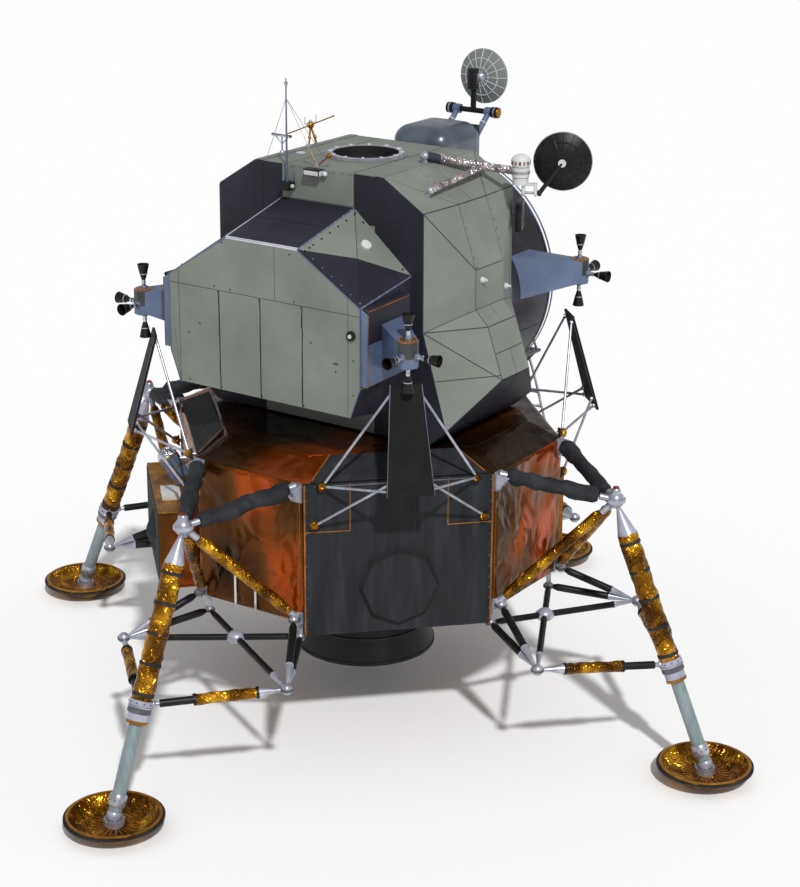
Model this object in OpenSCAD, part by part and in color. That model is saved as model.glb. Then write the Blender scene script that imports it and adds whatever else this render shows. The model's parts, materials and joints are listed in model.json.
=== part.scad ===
// Two-stage lunar landing vehicle, standing on its deployed gear.
// +X points forward to the hatch and ladder, +Y to port, +Z up.
// The origin is on the ground under the centre of the docking tunnel.

/* [Descent stage] */
// Half the width of the octagon across two leg faces
stage_half = 2057; // [1950:1:2300]
// Half the width of one leg face
leg_face_half = 650; // [600:1:700]
// Height of the stage's underside above the ground
stage_bottom_z = 1564; // [1500:1:1640]
// Height of the structure from underside to top deck
stage_h = 1496; // [1400:1:1560]
// Thickness of a thermal panel on a bay
panel_t = 40; // [20:1:60]
// Radius of the engine well
well_r = 800; // [760:1:900]
// Height of the heat blanket cover over the top deck
cover_h = 185; // [150:1:195]

/* [Descent engine] */
// Radius of the nozzle at its exit
bell_exit_r = 760; // [600:1:790]
// Height of the nozzle exit above the ground
bell_exit_z = 470; // [430:1:600]
// Radius of the nozzle throat
throat_r = 110; // [80:1:150]
// Wall of the nozzle
bell_wall = 16; // [10:1:30]
// Height of the gimbal centre above the ground
gimbal_z = 2300; // [2250:1:2360]
// Radius of a gimbal pin
gimbal_pin_r = 30; // [20:1:40]

/* [Landing gear] */
// Radius from the centre to a footpad's ball joint
pad_track_r = 4242; // [4100:1:4400]
// Height of the ball joint
pad_joint_z = 160; // [150:1:200]
// Radius of the primary strut's top end from the centre
apex_r = 3086; // [3000:1:3150]
// Height of the primary strut's top end
apex_z = 2791; // [2700:1:2850]
// Radius of a footpad
pad_r = 470; // [400:1:520]
// Depth of a footpad
pad_h = 178; // [150:1:200]
// Radius of the primary strut's upper cylinder
outer_strut_r = 105; // [90:1:120]
// Radius of the primary strut's lower piston
inner_strut_r = 70; // [55:1:80]
// Radius of a side strut's sleeve
side_strut_r = 58; // [45:1:70]
// Radius of an outrigger tube in its blanket
outrigger_r = 75; // [50:1:90]
// Radius of a truss tube
truss_r = 40; // [25:1:45]

/* [Plume deflectors] */
// Half the width of a deflector at its lower end
deflector_half_w = 240; // [180:1:280]
// Half the width of a deflector at its upper end
deflector_top_half_w = 160; // [100:1:200]
// Thickness of a deflector
deflector_t = 22; // [12:1:30]
// Radius of a deflector's support tube
deflector_tube_r = 14; // [10:1:20]

/* [Ascent stage] */
// Height of the ascent stage's underside
ascent_bottom_z = 3265; // [3258:1:3300]
// Height of the top deck
top_deck_z = 5950; // [5850:1:6050]
// Half the length of the midsection
mid_half_l = 840; // [800:1:900]
// Half the width of the midsection's pressure shell
shell_half_w = 700; // [650:1:760]
// Wall of the pressure shell with its shield
shell_wall = 60; // [40:1:80]
// Radius of the crew cabin drum
drum_r = 1290; // [1230:1:1300]
// Height of the drum's axis
drum_z = 4410; // [4380:1:4430]
// Length of the drum
drum_l = 780; // [700:1:820]
// Rear face of the aft equipment bay, behind the centre
aft_bay_x = 1787; // [1650:1:1850]

/* [Hatches and windows] */
// Width and height of the forward hatch
hatch_w = 830; // [760:1:850]
// Thickness of the forward hatch
hatch_t = 40; // [30:1:50]
// Height of the forward hatch's lower edge
hatch_z = 3330; // [3320:1:3360]
// Radius of the docking tunnel's bore
tunnel_r = 345; // [320:1:370]
// Wall of the docking ring
ring_wall = 55; // [40:1:70]
// Height of the docking ring above the deck
ring_h = 35; // [20:1:60]
// Thickness of a window pane
pane_t = 20; // [12:1:30]
// Radius of a hatch hinge pin
hatch_pin_r = 10; // [8:1:12]

/* [Antennas] */
// Radius of the rendezvous radar dish
radar_dish_r = 305; // [250:1:330]
// Forward place of the radar's shaft
radar_x = 2083; // [2060:1:2120]
// Height of the radar's shaft
radar_z = 6123; // [6080:1:6150]
// Height of the radar's trunnion above its shaft
trunnion_up = 352; // [340:1:400]
// Radius of the steerable dish
steer_dish_r = 305; // [280:1:310]

/* [Thrusters] */
// Distance of a thruster cluster from the centre along X and Y
cluster_xy = 1657; // [1620:1:1700]
// Height of the two aft clusters
aft_cluster_z = 4490; // [4450:1:4530]
// Height of the two forward clusters
front_cluster_z = 4620; // [4580:1:4660]
// Exit radius of a thruster bell
nozzle_r = 62; // [50:1:70]

/* [Hidden] */
$fn = 48;

stage_top_z = stage_bottom_z + stage_h;
diagonal_r = (stage_half + leg_face_half) / sqrt(2);   // centre to a diagonal face
diagonal_half_w = (stage_half - leg_face_half) / sqrt(2);
fit_gap = 0.3;      // faces of two bodies that meet
pin_gap = 0.05;     // running clearance round a pin
LEG_ANGLES = [0, 90, 180, 270];
QUAD_ANGLES = [45, 135, 225, 315];

// ---------- shared shapes ----------

// A round bar between two points; r2 is its radius at b.
module bar(a, b, r, r2 = undef) {
    d = b - a;
    translate(a)
        rotate([0, acos(d.z / norm(d)), atan2(d.y, d.x)])
            cylinder(h = norm(d), r1 = r, r2 = is_undef(r2) ? r : r2);
}

// A solid turned about the line from a to b; its outline is [radius, distance].
module turned(a, b, outline) {
    d = b - a;
    translate(a)
        rotate([0, acos(d.z / norm(d)), atan2(d.y, d.x)])
            rotate_extrude() polygon(outline);
}

// A point a share t of the way from a to b.
function along(a, b, t) = a + (b - a) * t;

// A point at distance d from a on the way to b.
function stepped(a, b, d) = a + (b - a) / norm(b - a) * d;

// The convex solid round a list of points.
module convex(points) {
    hull() polyhedron(points = points, faces = [[for (i = [0 : len(points) - 1]) i]]);
}

// The stage's octagon, drawn in by inset on every face.
module octagon(inset = 0) {
    h = stage_half - inset;
    f = leg_face_half - inset * tan(22.5);
    polygon([[h, -f], [h, f], [f, h], [-f, h], [-h, f], [-h, -f], [-f, -h], [f, -h]]);
}

// ---------- descent stage ----------

module descent_body() {
    color("#8a4a10") difference() {
        translate([0, 0, stage_bottom_z]) linear_extrude(stage_h) octagon();
        translate([0, 0, stage_bottom_z - 1]) cylinder(h = well_top_z - stage_bottom_z + 1, r = well_r);
    }
}
well_top_z = gimbal_z + 250;

// The blanket cover on the deck is lower where the cabin drum overhangs it.
module stage_cover() {
    color("#5a3205") difference() {
        translate([0, 0, stage_top_z]) linear_extrude(cover_h) octagon(cover_inset);
        cover_cut(drum_clear_x, stage_half, stage_half);
        for (s = [-1, 1]) for (t = [-1, 1])
            translate([s * post_x, t * post_y, stage_top_z - 1]) cylinder(h = cover_h + 2, r = post_r);
    }
}
cover_inset = 330;
drum_clear_x = 800;     // the cover stops short of the drum
post_x = 560;
post_y = 1000;
post_r = 70;

module cover_cut(x0, x1, half_w) {
    translate([x0, -half_w, stage_top_z - 1]) cube([x1 - x0, 2 * half_w, cover_h + 2]);
}

module interstage_posts() {
    color("#9a8f80") for (s = [-1, 1]) for (t = [-1, 1])
        translate([s * post_x, t * post_y, stage_top_z])
            cylinder(h = ascent_bottom_z - stage_top_z, r = post_r);
}

// A flat panel with an octagonal bulge, outward along +X at the diagonal face.
panel_bottom_z = 1430;
bulge_z = 1925;
bulge_r = 420;
bulge_t = 70;
module aft_starboard_panel() {
    color("#2e3033") rotate([0, 0, 225]) {
        translate([diagonal_r, -diagonal_half_w + panel_edge, panel_bottom_z])
            cube([panel_t, 2 * (diagonal_half_w - panel_edge), stage_top_z - panel_bottom_z]);
        translate([diagonal_r + panel_t, 0, bulge_z]) rotate([0, 90, 0])
            cylinder(h = bulge_t, r1 = bulge_r, r2 = bulge_r - bulge_t / 2, $fn = 8);
    }
}
panel_edge = 25;

module forward_port_panel() {
    color("#2e3033") rotate([0, 0, 45])
        translate([diagonal_r, -diagonal_half_w + panel_edge, stage_bottom_z])
            cube([panel_t, 2 * (diagonal_half_w - panel_edge), stage_h]);
}

// The bay on the aft port quarter stands well out of its face.
bay_out = 2328;
bay_half_w = 796;
bay_top_z = 2409;
module equipment_bay() {
    color("#3a3a3c") rotate([0, 0, 135])
        translate([diagonal_r, -bay_half_w, stage_bottom_z])
            cube([bay_out - diagonal_r, 2 * bay_half_w, bay_top_z - stage_bottom_z]);
}

// The fold-down pallet of tools on the forward starboard quarter.
pallet_w = 900;
pallet_h = 850;
pallet_t = 200;
pallet_gap = 8;
pallet_z = stage_bottom_z + 40;
pallet_pin_r = 15;
pallet_pin_in = 30;
module tool_pallet() {
    pin_at = [diagonal_r + pallet_gap + pallet_pin_in, -pallet_w / 2, pallet_z + pallet_pin_in];
    color("#7a5a20") rotate([0, 0, 315]) difference() {
        union() {
            difference() {
                translate([diagonal_r + pallet_gap, -pallet_w / 2, pallet_z]) cube([pallet_t, pallet_w, pallet_h]);
                translate([diagonal_r, -pallet_w, pallet_z - 10])
                    cube([pallet_gap + pallet_pin_in, 2 * pallet_w, pallet_pin_in + 10]);
            }
            translate(pin_at) rotate([-90, 0, 0]) cylinder(h = pallet_w, r = pallet_pin_in);
        }
        translate(pin_at - [0, 10, 0]) rotate([-90, 0, 0]) cylinder(h = pallet_w + 20, r = pallet_pin_r + pin_gap);
    }
}

// The cask leans outward on two brackets above the equipment bay.
cask_r = 110;
cask_l = 430;
cask_foot = [2000, 200, 2540];      // on the aft port diagonal
cask_top = cask_foot + [0.5, 0, 0.866] * cask_l;
module fuel_cask() {
    color("#c0c0c4") rotate([0, 0, 135]) difference() {
        union() {
            bar(cask_foot, cask_top, cask_r);
            for (t = [0.25, 0.7]) bar(along(cask_foot, cask_top, t) - [400, 0, 0], along(cask_foot, cask_top, t), 24);
        }
        translate([0, -stage_half, stage_bottom_z]) cube([diagonal_r + fit_gap, 2 * stage_half, stage_h]);
    }
}

// ---------- descent engine ----------

gimbal_ring_r = 260;
ring_tube = 40;
module engine_mount() {
    color("#555555") for (s = [-1, 1])
        difference() {
            intersection() {
                translate([-mount_w / 2, s > 0 ? mount_in : -well_r, gimbal_z - mount_w / 2])
                    cube([mount_w, well_r - mount_in, mount_w]);
                translate([0, 0, gimbal_z - mount_w]) cylinder(h = 2 * mount_w, r = well_r - fit_gap);
            }
            translate([0, s * (mount_in - 1), gimbal_z]) rotate([s * -90, 0, 0])
                cylinder(h = mount_bore + 1, r = gimbal_pin_r + pin_gap);
        }
}
mount_w = 120;
mount_in = gimbal_ring_r + ring_tube + 20;
mount_bore = 60;

// The ring turns on two pins along Y and carries the engine on two along X.
module gimbal_ring() {
    color("#777777") union() {
        difference() {
            translate([0, 0, gimbal_z - ring_tube]) cylinder(h = 2 * ring_tube, r = gimbal_ring_r + ring_tube);
            translate([0, 0, gimbal_z - ring_tube - 1]) cylinder(h = 2 * ring_tube + 2, r = gimbal_ring_r - ring_tube);
            for (s = [-1, 1])
                translate([s * (gimbal_ring_r - ring_tube - 5), 0, gimbal_z]) rotate([0, s * 90, 0])
                    cylinder(h = 2 * ring_tube + 10, r = gimbal_pin_r + pin_gap);
        }
        for (s = [-1, 1])
            translate([0, s * (gimbal_ring_r + ring_tube - 5), gimbal_z]) rotate([s * -90, 0, 0])
                cylinder(h = 20 + mount_bore, r = gimbal_pin_r);
    }
}

// The engine block with its nozzle: a parabola-like bell turned about Z.
chamber_r = 170;
throat_z = gimbal_z - 420;
bell_steps = 8;
function bell_r(t) = throat_r + (bell_exit_r - throat_r) * pow(t, 0.62);
module descent_engine() {
    depth = throat_z - bell_exit_z;
    color("#1c1c1e") union() {
        translate([0, 0, throat_z - 10]) cylinder(h = gimbal_z + 220 - throat_z + 10, r = chamber_r);
        rotate_extrude($fn = 96) polygon(concat(
            [for (i = [0 : bell_steps]) [bell_r(i / bell_steps), throat_z - depth * i / bell_steps]],
            [for (i = [bell_steps : -1 : 0])
                [bell_r(i / bell_steps) + bell_wall, throat_z - depth * i / bell_steps]]));
        translate([0, 0, throat_z - 30]) cylinder(h = 40, r = throat_r + bell_wall);
        for (s = [-1, 1])
            translate([s * (chamber_r - 5), 0, gimbal_z]) rotate([0, s * 90, 0])
                cylinder(h = gimbal_ring_r + ring_tube - chamber_r - 15, r = gimbal_pin_r);
    }
}

// ---------- landing gear ----------
// Each leg is drawn along +X and turned to its face.

apex = [apex_r, 0, apex_z];
pad_joint = [pad_track_r, 0, pad_joint_z];
bracket_y = 616;
upper_bracket = [stage_half, bracket_y, stage_top_z - 20];
lower_bracket = [stage_half, bracket_y, stage_bottom_z + 60];
truss_apex = [2842, 1055, 1244];
collar_t = 0.62;                     // share of the strut where the side struts join
collar = along(apex, pad_joint, collar_t);
strut_up = along(apex, pad_joint, 0.04);

module upper_outriggers() {
    color("#3c3e42") for (a = LEG_ANGLES) rotate([0, 0, a]) for (s = [1, -1]) {
        root = [upper_bracket.x + bracket_t, s * upper_bracket.y, upper_bracket.z];
        bar(along(root, apex, upper_span[0]), along(root, apex, upper_span[1]), outrigger_r);
    }
}

module lower_outriggers() {
    color("#b8801c") for (a = LEG_ANGLES) rotate([0, 0, a]) for (s = [1, -1]) {
        root = [lower_bracket.x + bracket_t, s * lower_bracket.y, lower_bracket.z];
        bar(along(root, apex, lower_span[0]), along(root, apex, lower_span[1]), lower_outrigger_r);
    }
}
lower_outrigger_r = outrigger_r - 15;
upper_span = [0.06, 0.86];      // shares of the line that the blanket covers
lower_span = [0.07, 0.88];

// Corner brackets on the stage, the knuckle at each apex and its fork ends.
bracket_t = 30;
knuckle_r = 90;
fork_r = 34;
module gear_brackets() {
    color("#b9bac4") for (a = LEG_ANGLES) rotate([0, 0, a]) {
        for (s = [1, -1]) {
            up = [upper_bracket.x + bracket_t, s * upper_bracket.y, upper_bracket.z];
            low = [lower_bracket.x + bracket_t, s * lower_bracket.y, lower_bracket.z];
            translate([upper_bracket.x, s * upper_bracket.y - 60, upper_bracket.z - 170])
                cube([bracket_t, 120, 200]);
            bar(up, along(up, apex, upper_span[0]), fork_r + 6);
            translate([lower_bracket.x, s * lower_bracket.y - 60, lower_bracket.z - 60])
                cube([bracket_t, 120, 120]);
            difference() {
                bar(low, along(low, apex, lower_span[0]), fork_r);
                translate(corner_up(s)) sphere(r = corner_knot_r + fit_gap);
            }
            bar(apex, along(up, apex, upper_span[1]), fork_r);
            bar(apex, along(low, apex, lower_span[1]), fork_r);
        }
        translate(apex) sphere(r = knuckle_r);
        bar(apex, strut_up, 26);
    }
}

// Each gear truss: two tubes to each side tip and two that cross in a hub.
truss_knot_r = 60;
hub_r = 92;
module gear_trusses() {
    color("#17181a") for (a = LEG_ANGLES) rotate([0, 0, a]) {
        hub = along(corner_low(1), truss_tip(-1), corner_y / (corner_y + truss_apex.y));
        for (s = [1, -1]) {
            tapered(truss_tip(s), corner_up(s));
            tapered(truss_tip(s), corner_low(s));
            near = norm(hub - truss_tip(s)) - hub_r + 8;
            turned(truss_tip(s), hub, [[0, tube_start], [8, tube_start], [cross_tube_r, 300], [cross_tube_r, near], [0, near]]);
            far = norm(hub - corner_low(s)) - corner_knot_r + 8;
            turned(hub, corner_low(s), [[0, hub_r - 8], [cross_tube_r, hub_r - 8], [cross_tube_r, far - 100], [20, far], [0, far]]);
            translate(truss_tip(s)) sphere(r = truss_knot_r);
            translate(corner_up(s)) sphere(r = corner_knot_r);
            translate(corner_low(s)) sphere(r = corner_knot_r);
            translate([corner_low(s).x, corner_low(s).y, corner_low(s).z + 40])
                cylinder(h = stage_bottom_z - fit_gap - corner_low(s).z - 40, r = 26);
        }
        translate(hub) sphere(r = hub_r);
    }
}
tube_start = truss_knot_r - 3;
cross_tube_r = 34;
corner_knot_r = 52;
corner_y = bracket_y - 21;
function truss_tip(s) = [truss_apex.x, s * truss_apex.y, truss_apex.z];
function corner_up(s) = [lower_bracket.x + bracket_t + corner_knot_r + fit_gap, s * bracket_y,
    lower_bracket.z - 10];
function corner_low(s) = [stage_half - 53, s * corner_y, stage_bottom_z - 186];

// A truss tube is thin at its tip, swells to its full size and narrows again.
module tapered(tip, root) {
    l = norm(root - tip) - corner_knot_r + 8;
    turned(tip, root, [[0, tube_start], [8, tube_start], [truss_r, 340], [truss_r, l - 100], [20, l], [0, l]]);
}

// The main strut: cone, foil-wrapped cylinder, collar, end ring and piston,
// with a lug on each side that a side strut starts from.
lug_l = 185;
module main_strut(angle) {
    l = norm(pad_joint - apex);
    color("#a8741c") rotate([0, 0, angle]) union() {
        turned(apex, pad_joint, [[0, 0.04 * l + fit_gap], [30, 0.04 * l + fit_gap], [outer_strut_r, 0.13 * l],
            [outer_strut_r, 0.60 * l], [outer_strut_r + 14, 0.60 * l], [outer_strut_r + 14, 0.645 * l],
            [outer_strut_r, 0.645 * l], [outer_strut_r, 0.68 * l], [inner_strut_r, 0.68 * l],
            [inner_strut_r, l], [0, l]]);
        translate(pad_joint) sphere(r = pad_ball_r);
        for (s = [1, -1]) bar(collar, stepped(collar, truss_tip(s), lug_l), 20);
    }
}
pad_ball_r = 78;

module side_struts() {
    color("#b8801c") for (a = LEG_ANGLES) rotate([0, 0, a]) for (s = [1, -1]) {
        l = norm(truss_tip(s) - collar);
        end = l - truss_knot_r - fit_gap;
        turned(collar, truss_tip(s), [[0, lug_l + fit_gap], [side_strut_r - 18, lug_l + fit_gap],
            [side_strut_r - 18, 0.36 * l], [side_strut_r, 0.36 * l], [side_strut_r, 0.84 * l],
            [18, end - 40], [18, end], [0, end]]);
    }
}

// A shallow dish with a socket for the ball; its underside is flat in the middle.
pad_floor = 14;
pad_flat_r = pad_r * 0.5;
module footpad(angle) {
    color("#a8741c") rotate([0, 0, angle]) translate([pad_track_r, 0, 0]) union() {
        rotate_extrude($fn = 72) polygon([
            [0, 0], [pad_flat_r, 0], [pad_r * 0.84, pad_h * 0.4], [pad_r, pad_h * 0.8], [pad_r, pad_h],
            [pad_r - 18, pad_h], [pad_r * 0.8, pad_h * 0.55], [pad_flat_r, pad_h * 0.3], [0, pad_h * 0.3]]);
        difference() {
            translate([0, 0, pad_h * 0.3 - 1]) cylinder(h = pad_joint_z - 25 - pad_h * 0.3, r = pad_ball_r + 25);
            translate([0, 0, pad_joint_z]) sphere(r = pad_ball_r + fit_gap);
        }
    }
}

ladder_half_w = 190;
ladder_rungs = 9;
rung_pitch = 229;
ladder_out = outer_strut_r + 60;
module ladder() {
    axis = (pad_joint - apex) / norm(pad_joint - apex);
    out = [-axis.z, 0, axis.x] * ladder_out;
    top = apex + out + axis * 90;
    color("#b9bac4") difference() {
        union() {
            for (s = [-1, 1]) {
                side = [0, s * ladder_half_w, 0];
                bar([porch_x1 + 17, s * ladder_half_w, porch_z - 15], top + side, 16);
                bar(top + side, top + side + axis * rung_pitch * (ladder_rungs - 0.4), 16);
                translate(top + side) sphere(r = 20);
                for (i = [0, 1, 2])
                    bar(apex + axis * (560 + i * 640), top + side + axis * (470 + i * 640), 9);
            }
            for (i = [0 : ladder_rungs - 1])
                bar(top + axis * (rung_pitch * i + 60) - [0, ladder_half_w, 0],
                    top + axis * (rung_pitch * i + 60) + [0, ladder_half_w, 0], 12);
        }
        bar(apex, along(apex, pad_joint, 0.68), outer_strut_r + 14 + fit_gap);
    }
}

// The platform outside the forward hatch, with its two handrails.
porch_half_w = 410;
porch_z = 3190;
porch_x0 = 1960;
porch_x1 = 3040;
rail_h = 330;
module porch() {
    rail_y = porch_half_w - 20;
    color("#8d8f92") union() {
        difference() {
            translate([porch_x0, -porch_half_w, porch_z - 30]) cube([porch_x1 - porch_x0, 2 * porch_half_w, 30]);
            for (i = [1 : 9])
                translate([porch_x0 + i * 108 - 20, -porch_half_w + 60, porch_z - 40])
                    cube([40, 2 * porch_half_w - 120, 60]);
        }
        for (s = [-1, 1]) {
            bar([stage_half + 18 + fit_gap, s * rail_y, stage_top_z - 300], [stage_half + 18 + fit_gap, s * rail_y, porch_z - 5], 18);
            bar([porch_x1 - 60, s * rail_y, porch_z - 5], stepped(apex, [porch_x1 - 60, s * rail_y, porch_z - 5], knuckle_r + fit_gap), 18);
            bar([porch_x0 + 60, s * rail_y, porch_z - 5], [porch_x0 + 60, s * rail_y, porch_z + rail_h], 14);
            translate([porch_x0 + 60, s * rail_y, porch_z + rail_h]) sphere(r = 17);
            bar([porch_x0 + 60, s * rail_y, porch_z + rail_h], [porch_x1 - 260, s * rail_y, porch_z + rail_h], 14);
            translate([porch_x1 - 260, s * rail_y, porch_z + rail_h]) sphere(r = 17);
            bar([porch_x1 - 260, s * rail_y, porch_z + rail_h], [porch_x1 - 60, s * rail_y, porch_z - 5], 14);
        }
    }
}

// ---------- plume deflectors ----------

deflector_top = [2233, 4148];      // radius and height on the diagonal
deflector_foot = [2530, 3095];
frame_high = [784, 3050];           // sideways place and height of a foot
frame_low = [868, 2636];
foot_out = diagonal_r + panel_t + 36;
deflector_slope = atan2(deflector_foot.x - deflector_top.x, deflector_top.y - deflector_foot.y);
deflector_l = norm(deflector_foot - deflector_top);
lug_t = 16;

module deflector_plates() {
    color("#2a2b2d") for (a = QUAD_ANGLES) rotate([0, 0, a])
        translate([deflector_top.x, 0, deflector_top.y]) rotate([0, 90 - deflector_slope, 0])
            linear_extrude(deflector_t) polygon([[0, -deflector_top_half_w], [0, deflector_top_half_w],
                [deflector_l, deflector_half_w], [deflector_l, -deflector_half_w]]);
}

// A place behind the plate, at distance d down it and w to the side.
function behind(d, w) = [deflector_top.x + d * sin(deflector_slope) - lug_t * cos(deflector_slope), w,
    deflector_top.y - d * cos(deflector_slope) - lug_t * sin(deflector_slope)];

// Columns: angle of the diagonal, radius of the face that its feet stand on.
FRAMES = [[45, diagonal_r + panel_t], [135, diagonal_r], [225, diagonal_r + panel_t], [315, diagonal_r]];
module deflector_frames() {
    color("#aeb0ba") for (f = FRAMES) rotate([0, 0, f[0]]) for (s = [1, -1]) {
        high = [foot_out, s * frame_high.x, frame_high.y];
        low = [foot_out, s * frame_low.x, frame_low.y];
        top = behind(70, s * (deflector_top_half_w - 30));
        foot = behind(deflector_l - 50, s * (deflector_half_w - 40));
        heel = behind(deflector_l - 130, s * (deflector_half_w - 50));
        bar(stepped(high, top, 26), top, deflector_tube_r);
        bar(stepped(high, foot, 26), foot, deflector_tube_r);
        bar(stepped(low, heel, 26), heel, deflector_tube_r);
        for (p = [high, low]) {
            translate(p) sphere(r = 32);
            translate([f[1] + fit_gap, p.y, p.z - 6]) rotate([0, 90, 0])
                cylinder(h = foot_out - f[1] - fit_gap, r = 19);
        }
        for (p = [top, foot, heel]) translate(p) rotate([0, 90 - deflector_slope, 0])
            translate([0, 0, -10]) cylinder(h = lug_t + 10 - fit_gap, r = 24);
    }
}

// ---------- ascent stage ----------

// Pressure shell of the midsection: a box open to the cabin, with the tunnel
// bore in its roof and an engine opening in its floor.
engine_can_r = 380;
roof_z = top_deck_z - shell_wall;
module midsection() {
    color("#7c8179") difference() {
        translate([-mid_half_l, -shell_half_w, ascent_bottom_z])
            cube([2 * mid_half_l, 2 * shell_half_w, top_deck_z - ascent_bottom_z]);
        translate([-mid_half_l + shell_wall, -shell_half_w + shell_wall, ascent_bottom_z + shell_wall])
            cube([2 * mid_half_l, 2 * (shell_half_w - shell_wall), roof_z - ascent_bottom_z - shell_wall]);
        translate([0, 0, roof_z - 1]) cylinder(h = shell_wall + 2, r = tunnel_r + ring_wall);
        translate([0, 0, ascent_bottom_z - 1]) cylinder(h = shell_wall + 2, r = engine_can_r + fit_gap);
    }
}

// Half section of a side bay at one station, from the deck edge down.
// The columns are the distance from the centre line and the height.
SIDE_END = [[793, 5950], [1278, 5643], [1280, 5003], [1284, 4433]];
SIDE_MID = [[793, 5950], [1310, 5640], [1532, 5000], [1540, 4586]];
LOBE_END = [[1284, 4433], [1438, 3913], [1574, 3447], [1366, 3265]];
LOBE_MID = [[1540, 4586], [1690, 4430], [1874, 3905], [1555, 3445]];
side_bulge_x = 262;

function side_points(section, x, s) = [for (p = section) [x, s * p.x, p.y]];
function inner_points(s, z0, z1) =
    [for (x = [-mid_half_l, mid_half_l]) for (z = [z0, z1]) [x, s * (shell_half_w + fit_gap), z]];

module tank_bay(s) {
    union() {
        convex(concat(
            side_points(SIDE_END, -mid_half_l, s), side_points(SIDE_MID, -side_bulge_x, s),
            side_points(SIDE_MID, side_bulge_x, s), side_points(SIDE_END, mid_half_l, s),
            inner_points(s, SIDE_END[3].y, top_deck_z)));
        convex(concat(
            side_points(LOBE_END, -mid_half_l, s), side_points(LOBE_MID, -side_bulge_x, s),
            side_points(LOBE_MID, side_bulge_x, s), side_points(LOBE_END, mid_half_l, s),
            inner_points(s, ascent_bottom_z, SIDE_END[3].y)));
    }
}
module port_tank_bay() { color("#878c84") tank_bay(1); }
module starboard_tank_bay() { color("#878c84") tank_bay(-1); }

// Half outline of the aft bay's rear face, and of its root on the midsection.
AFT_REAR = [[443, 5357], [1187, 4882], [1193, 4081], [1074, 3756]];
AFT_ROOT = [[450, 5595], [1140, 5001], [1179, 4100], [1100, 3620]];
module aft_equipment_bay() {
    color("#878c84") aft_bay_block();
}
module aft_bay_block() {
    convex([for (s = [1, -1]) for (p = AFT_REAR) [-aft_bay_x, s * p.x, p.y],
        for (s = [1, -1]) for (p = AFT_ROOT) [-mid_half_l - fit_gap, s * p.x, p.y]]);
}

// The ascent engine under its cover, standing in the cabin's midsection.
module ascent_engine() {
    color("#5c5e60") union() {
        translate([0, 0, ascent_bottom_z]) cylinder(h = 620, r = engine_can_r);
        translate([0, 0, ascent_bottom_z + 620]) sphere(r = engine_can_r * 0.6);
    }
}

// The crew cabin's drum lies along X; its rear end closes round the midsection.
drum_x0 = mid_half_l + fit_gap;
drum_x1 = mid_half_l + drum_l;
module cabin_drum() {
    color("#2a2932") difference() {
        translate([drum_x0, 0, drum_z]) rotate([0, 90, 0]) cylinder(h = drum_x1 - drum_x0, r = drum_r, $fn = 96);
        translate([drum_x0 + shell_wall, 0, drum_z]) rotate([0, 90, 0])
            cylinder(h = drum_l, r = drum_r - shell_wall, $fn = 96);
        translate([drum_x0 - 1, -shell_half_w + shell_wall, ascent_bottom_z + shell_wall])
            cube([shell_wall + 2, 2 * (shell_half_w - shell_wall), drum_z + 1100 - ascent_bottom_z - shell_wall]);
        roof_window_hole();
    }
}

// The docking window looks straight up over the port station.
roof_window = [1280, 560];
module roof_window_hole() {
    translate([roof_window.x - 130, roof_window.y - 70, drum_z + 800]) cube([260, 140, 700]);
}

// Forward bulkhead: a round wall with two three-cornered windows and, below,
// a boxed bay that holds the hatch.
face_x0 = drum_x1 + fit_gap;
face_x1 = face_x0 + shell_wall;
hatch_bay_x1 = 1900;
hatch_bay_half_w = 540;
hatch_bay_z0 = 3215;
hatch_bay_z1 = 4260;
window_corners = [[250, 5000], [950, 5060], [420, 4420]];
hatch_gap = 6;
opening_half = hatch_w / 2 - 25;
module front_face() {
    color("#33333b") difference() {
        union() {
            translate([face_x0, 0, drum_z]) rotate([0, 90, 0]) cylinder(h = shell_wall, r = drum_r, $fn = 96);
            translate([face_x1 - 1, -hatch_bay_half_w, hatch_bay_z0])
                cube([hatch_bay_x1 - face_x1 + 1, 2 * hatch_bay_half_w, hatch_bay_z1 - hatch_bay_z0]);
        }
        translate([face_x0 - 1, -hatch_bay_half_w + shell_wall, hatch_bay_z0 + shell_wall])
            cube([hatch_bay_x1 - shell_wall - face_x0 + 1, 2 * (hatch_bay_half_w - shell_wall),
                hatch_bay_z1 - hatch_bay_z0 - 2 * shell_wall]);
        translate([hatch_bay_x1 - shell_wall - 1, -opening_half, hatch_z + 25])
            cube([shell_wall + 2, 2 * opening_half, hatch_w - 50]);
        for (s = [-1, 1]) window_prism(s, face_x0 - 1, shell_wall + 2, 0);
    }
}

module window_prism(s, x, length, inset) {
    translate([x, 0, 0]) rotate([90, 0, 90]) linear_extrude(length)
        polygon([for (p = inset_corners(inset)) [s * p.x, p.y]]);
}
window_centre = (window_corners[0] + window_corners[1] + window_corners[2]) / 3;
function inset_corners(d) = [for (p = window_corners) p + (window_centre - p) * d / norm(window_centre - p)];

module window_panes() {
    color("#30343a", 0.5) union() {
        for (s = [-1, 1]) window_prism(s, face_x0 + 15, pane_t, fit_gap);
        translate([roof_window.x - 130 + fit_gap, roof_window.y - 70 + fit_gap, roof_pane_z])
            cube([260 - 2 * fit_gap, 140 - 2 * fit_gap, pane_t]);
    }
}
roof_pane_z = drum_z + sqrt(pow(drum_r - shell_wall, 2) - pow(roof_window.y - 70, 2)) + 5;

module cabin_floor() {
    color("#6a6c6e") translate([drum_x0 + shell_wall + fit_gap, -floor_half_w, hatch_bay_z0 + shell_wall + fit_gap])
        cube([drum_l - shell_wall - 2 * fit_gap, 2 * floor_half_w, 30]);
}
floor_half_w = sqrt(pow(drum_r - shell_wall, 2) - pow(drum_z - hatch_bay_z0 - shell_wall, 2)) - 5;

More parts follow.
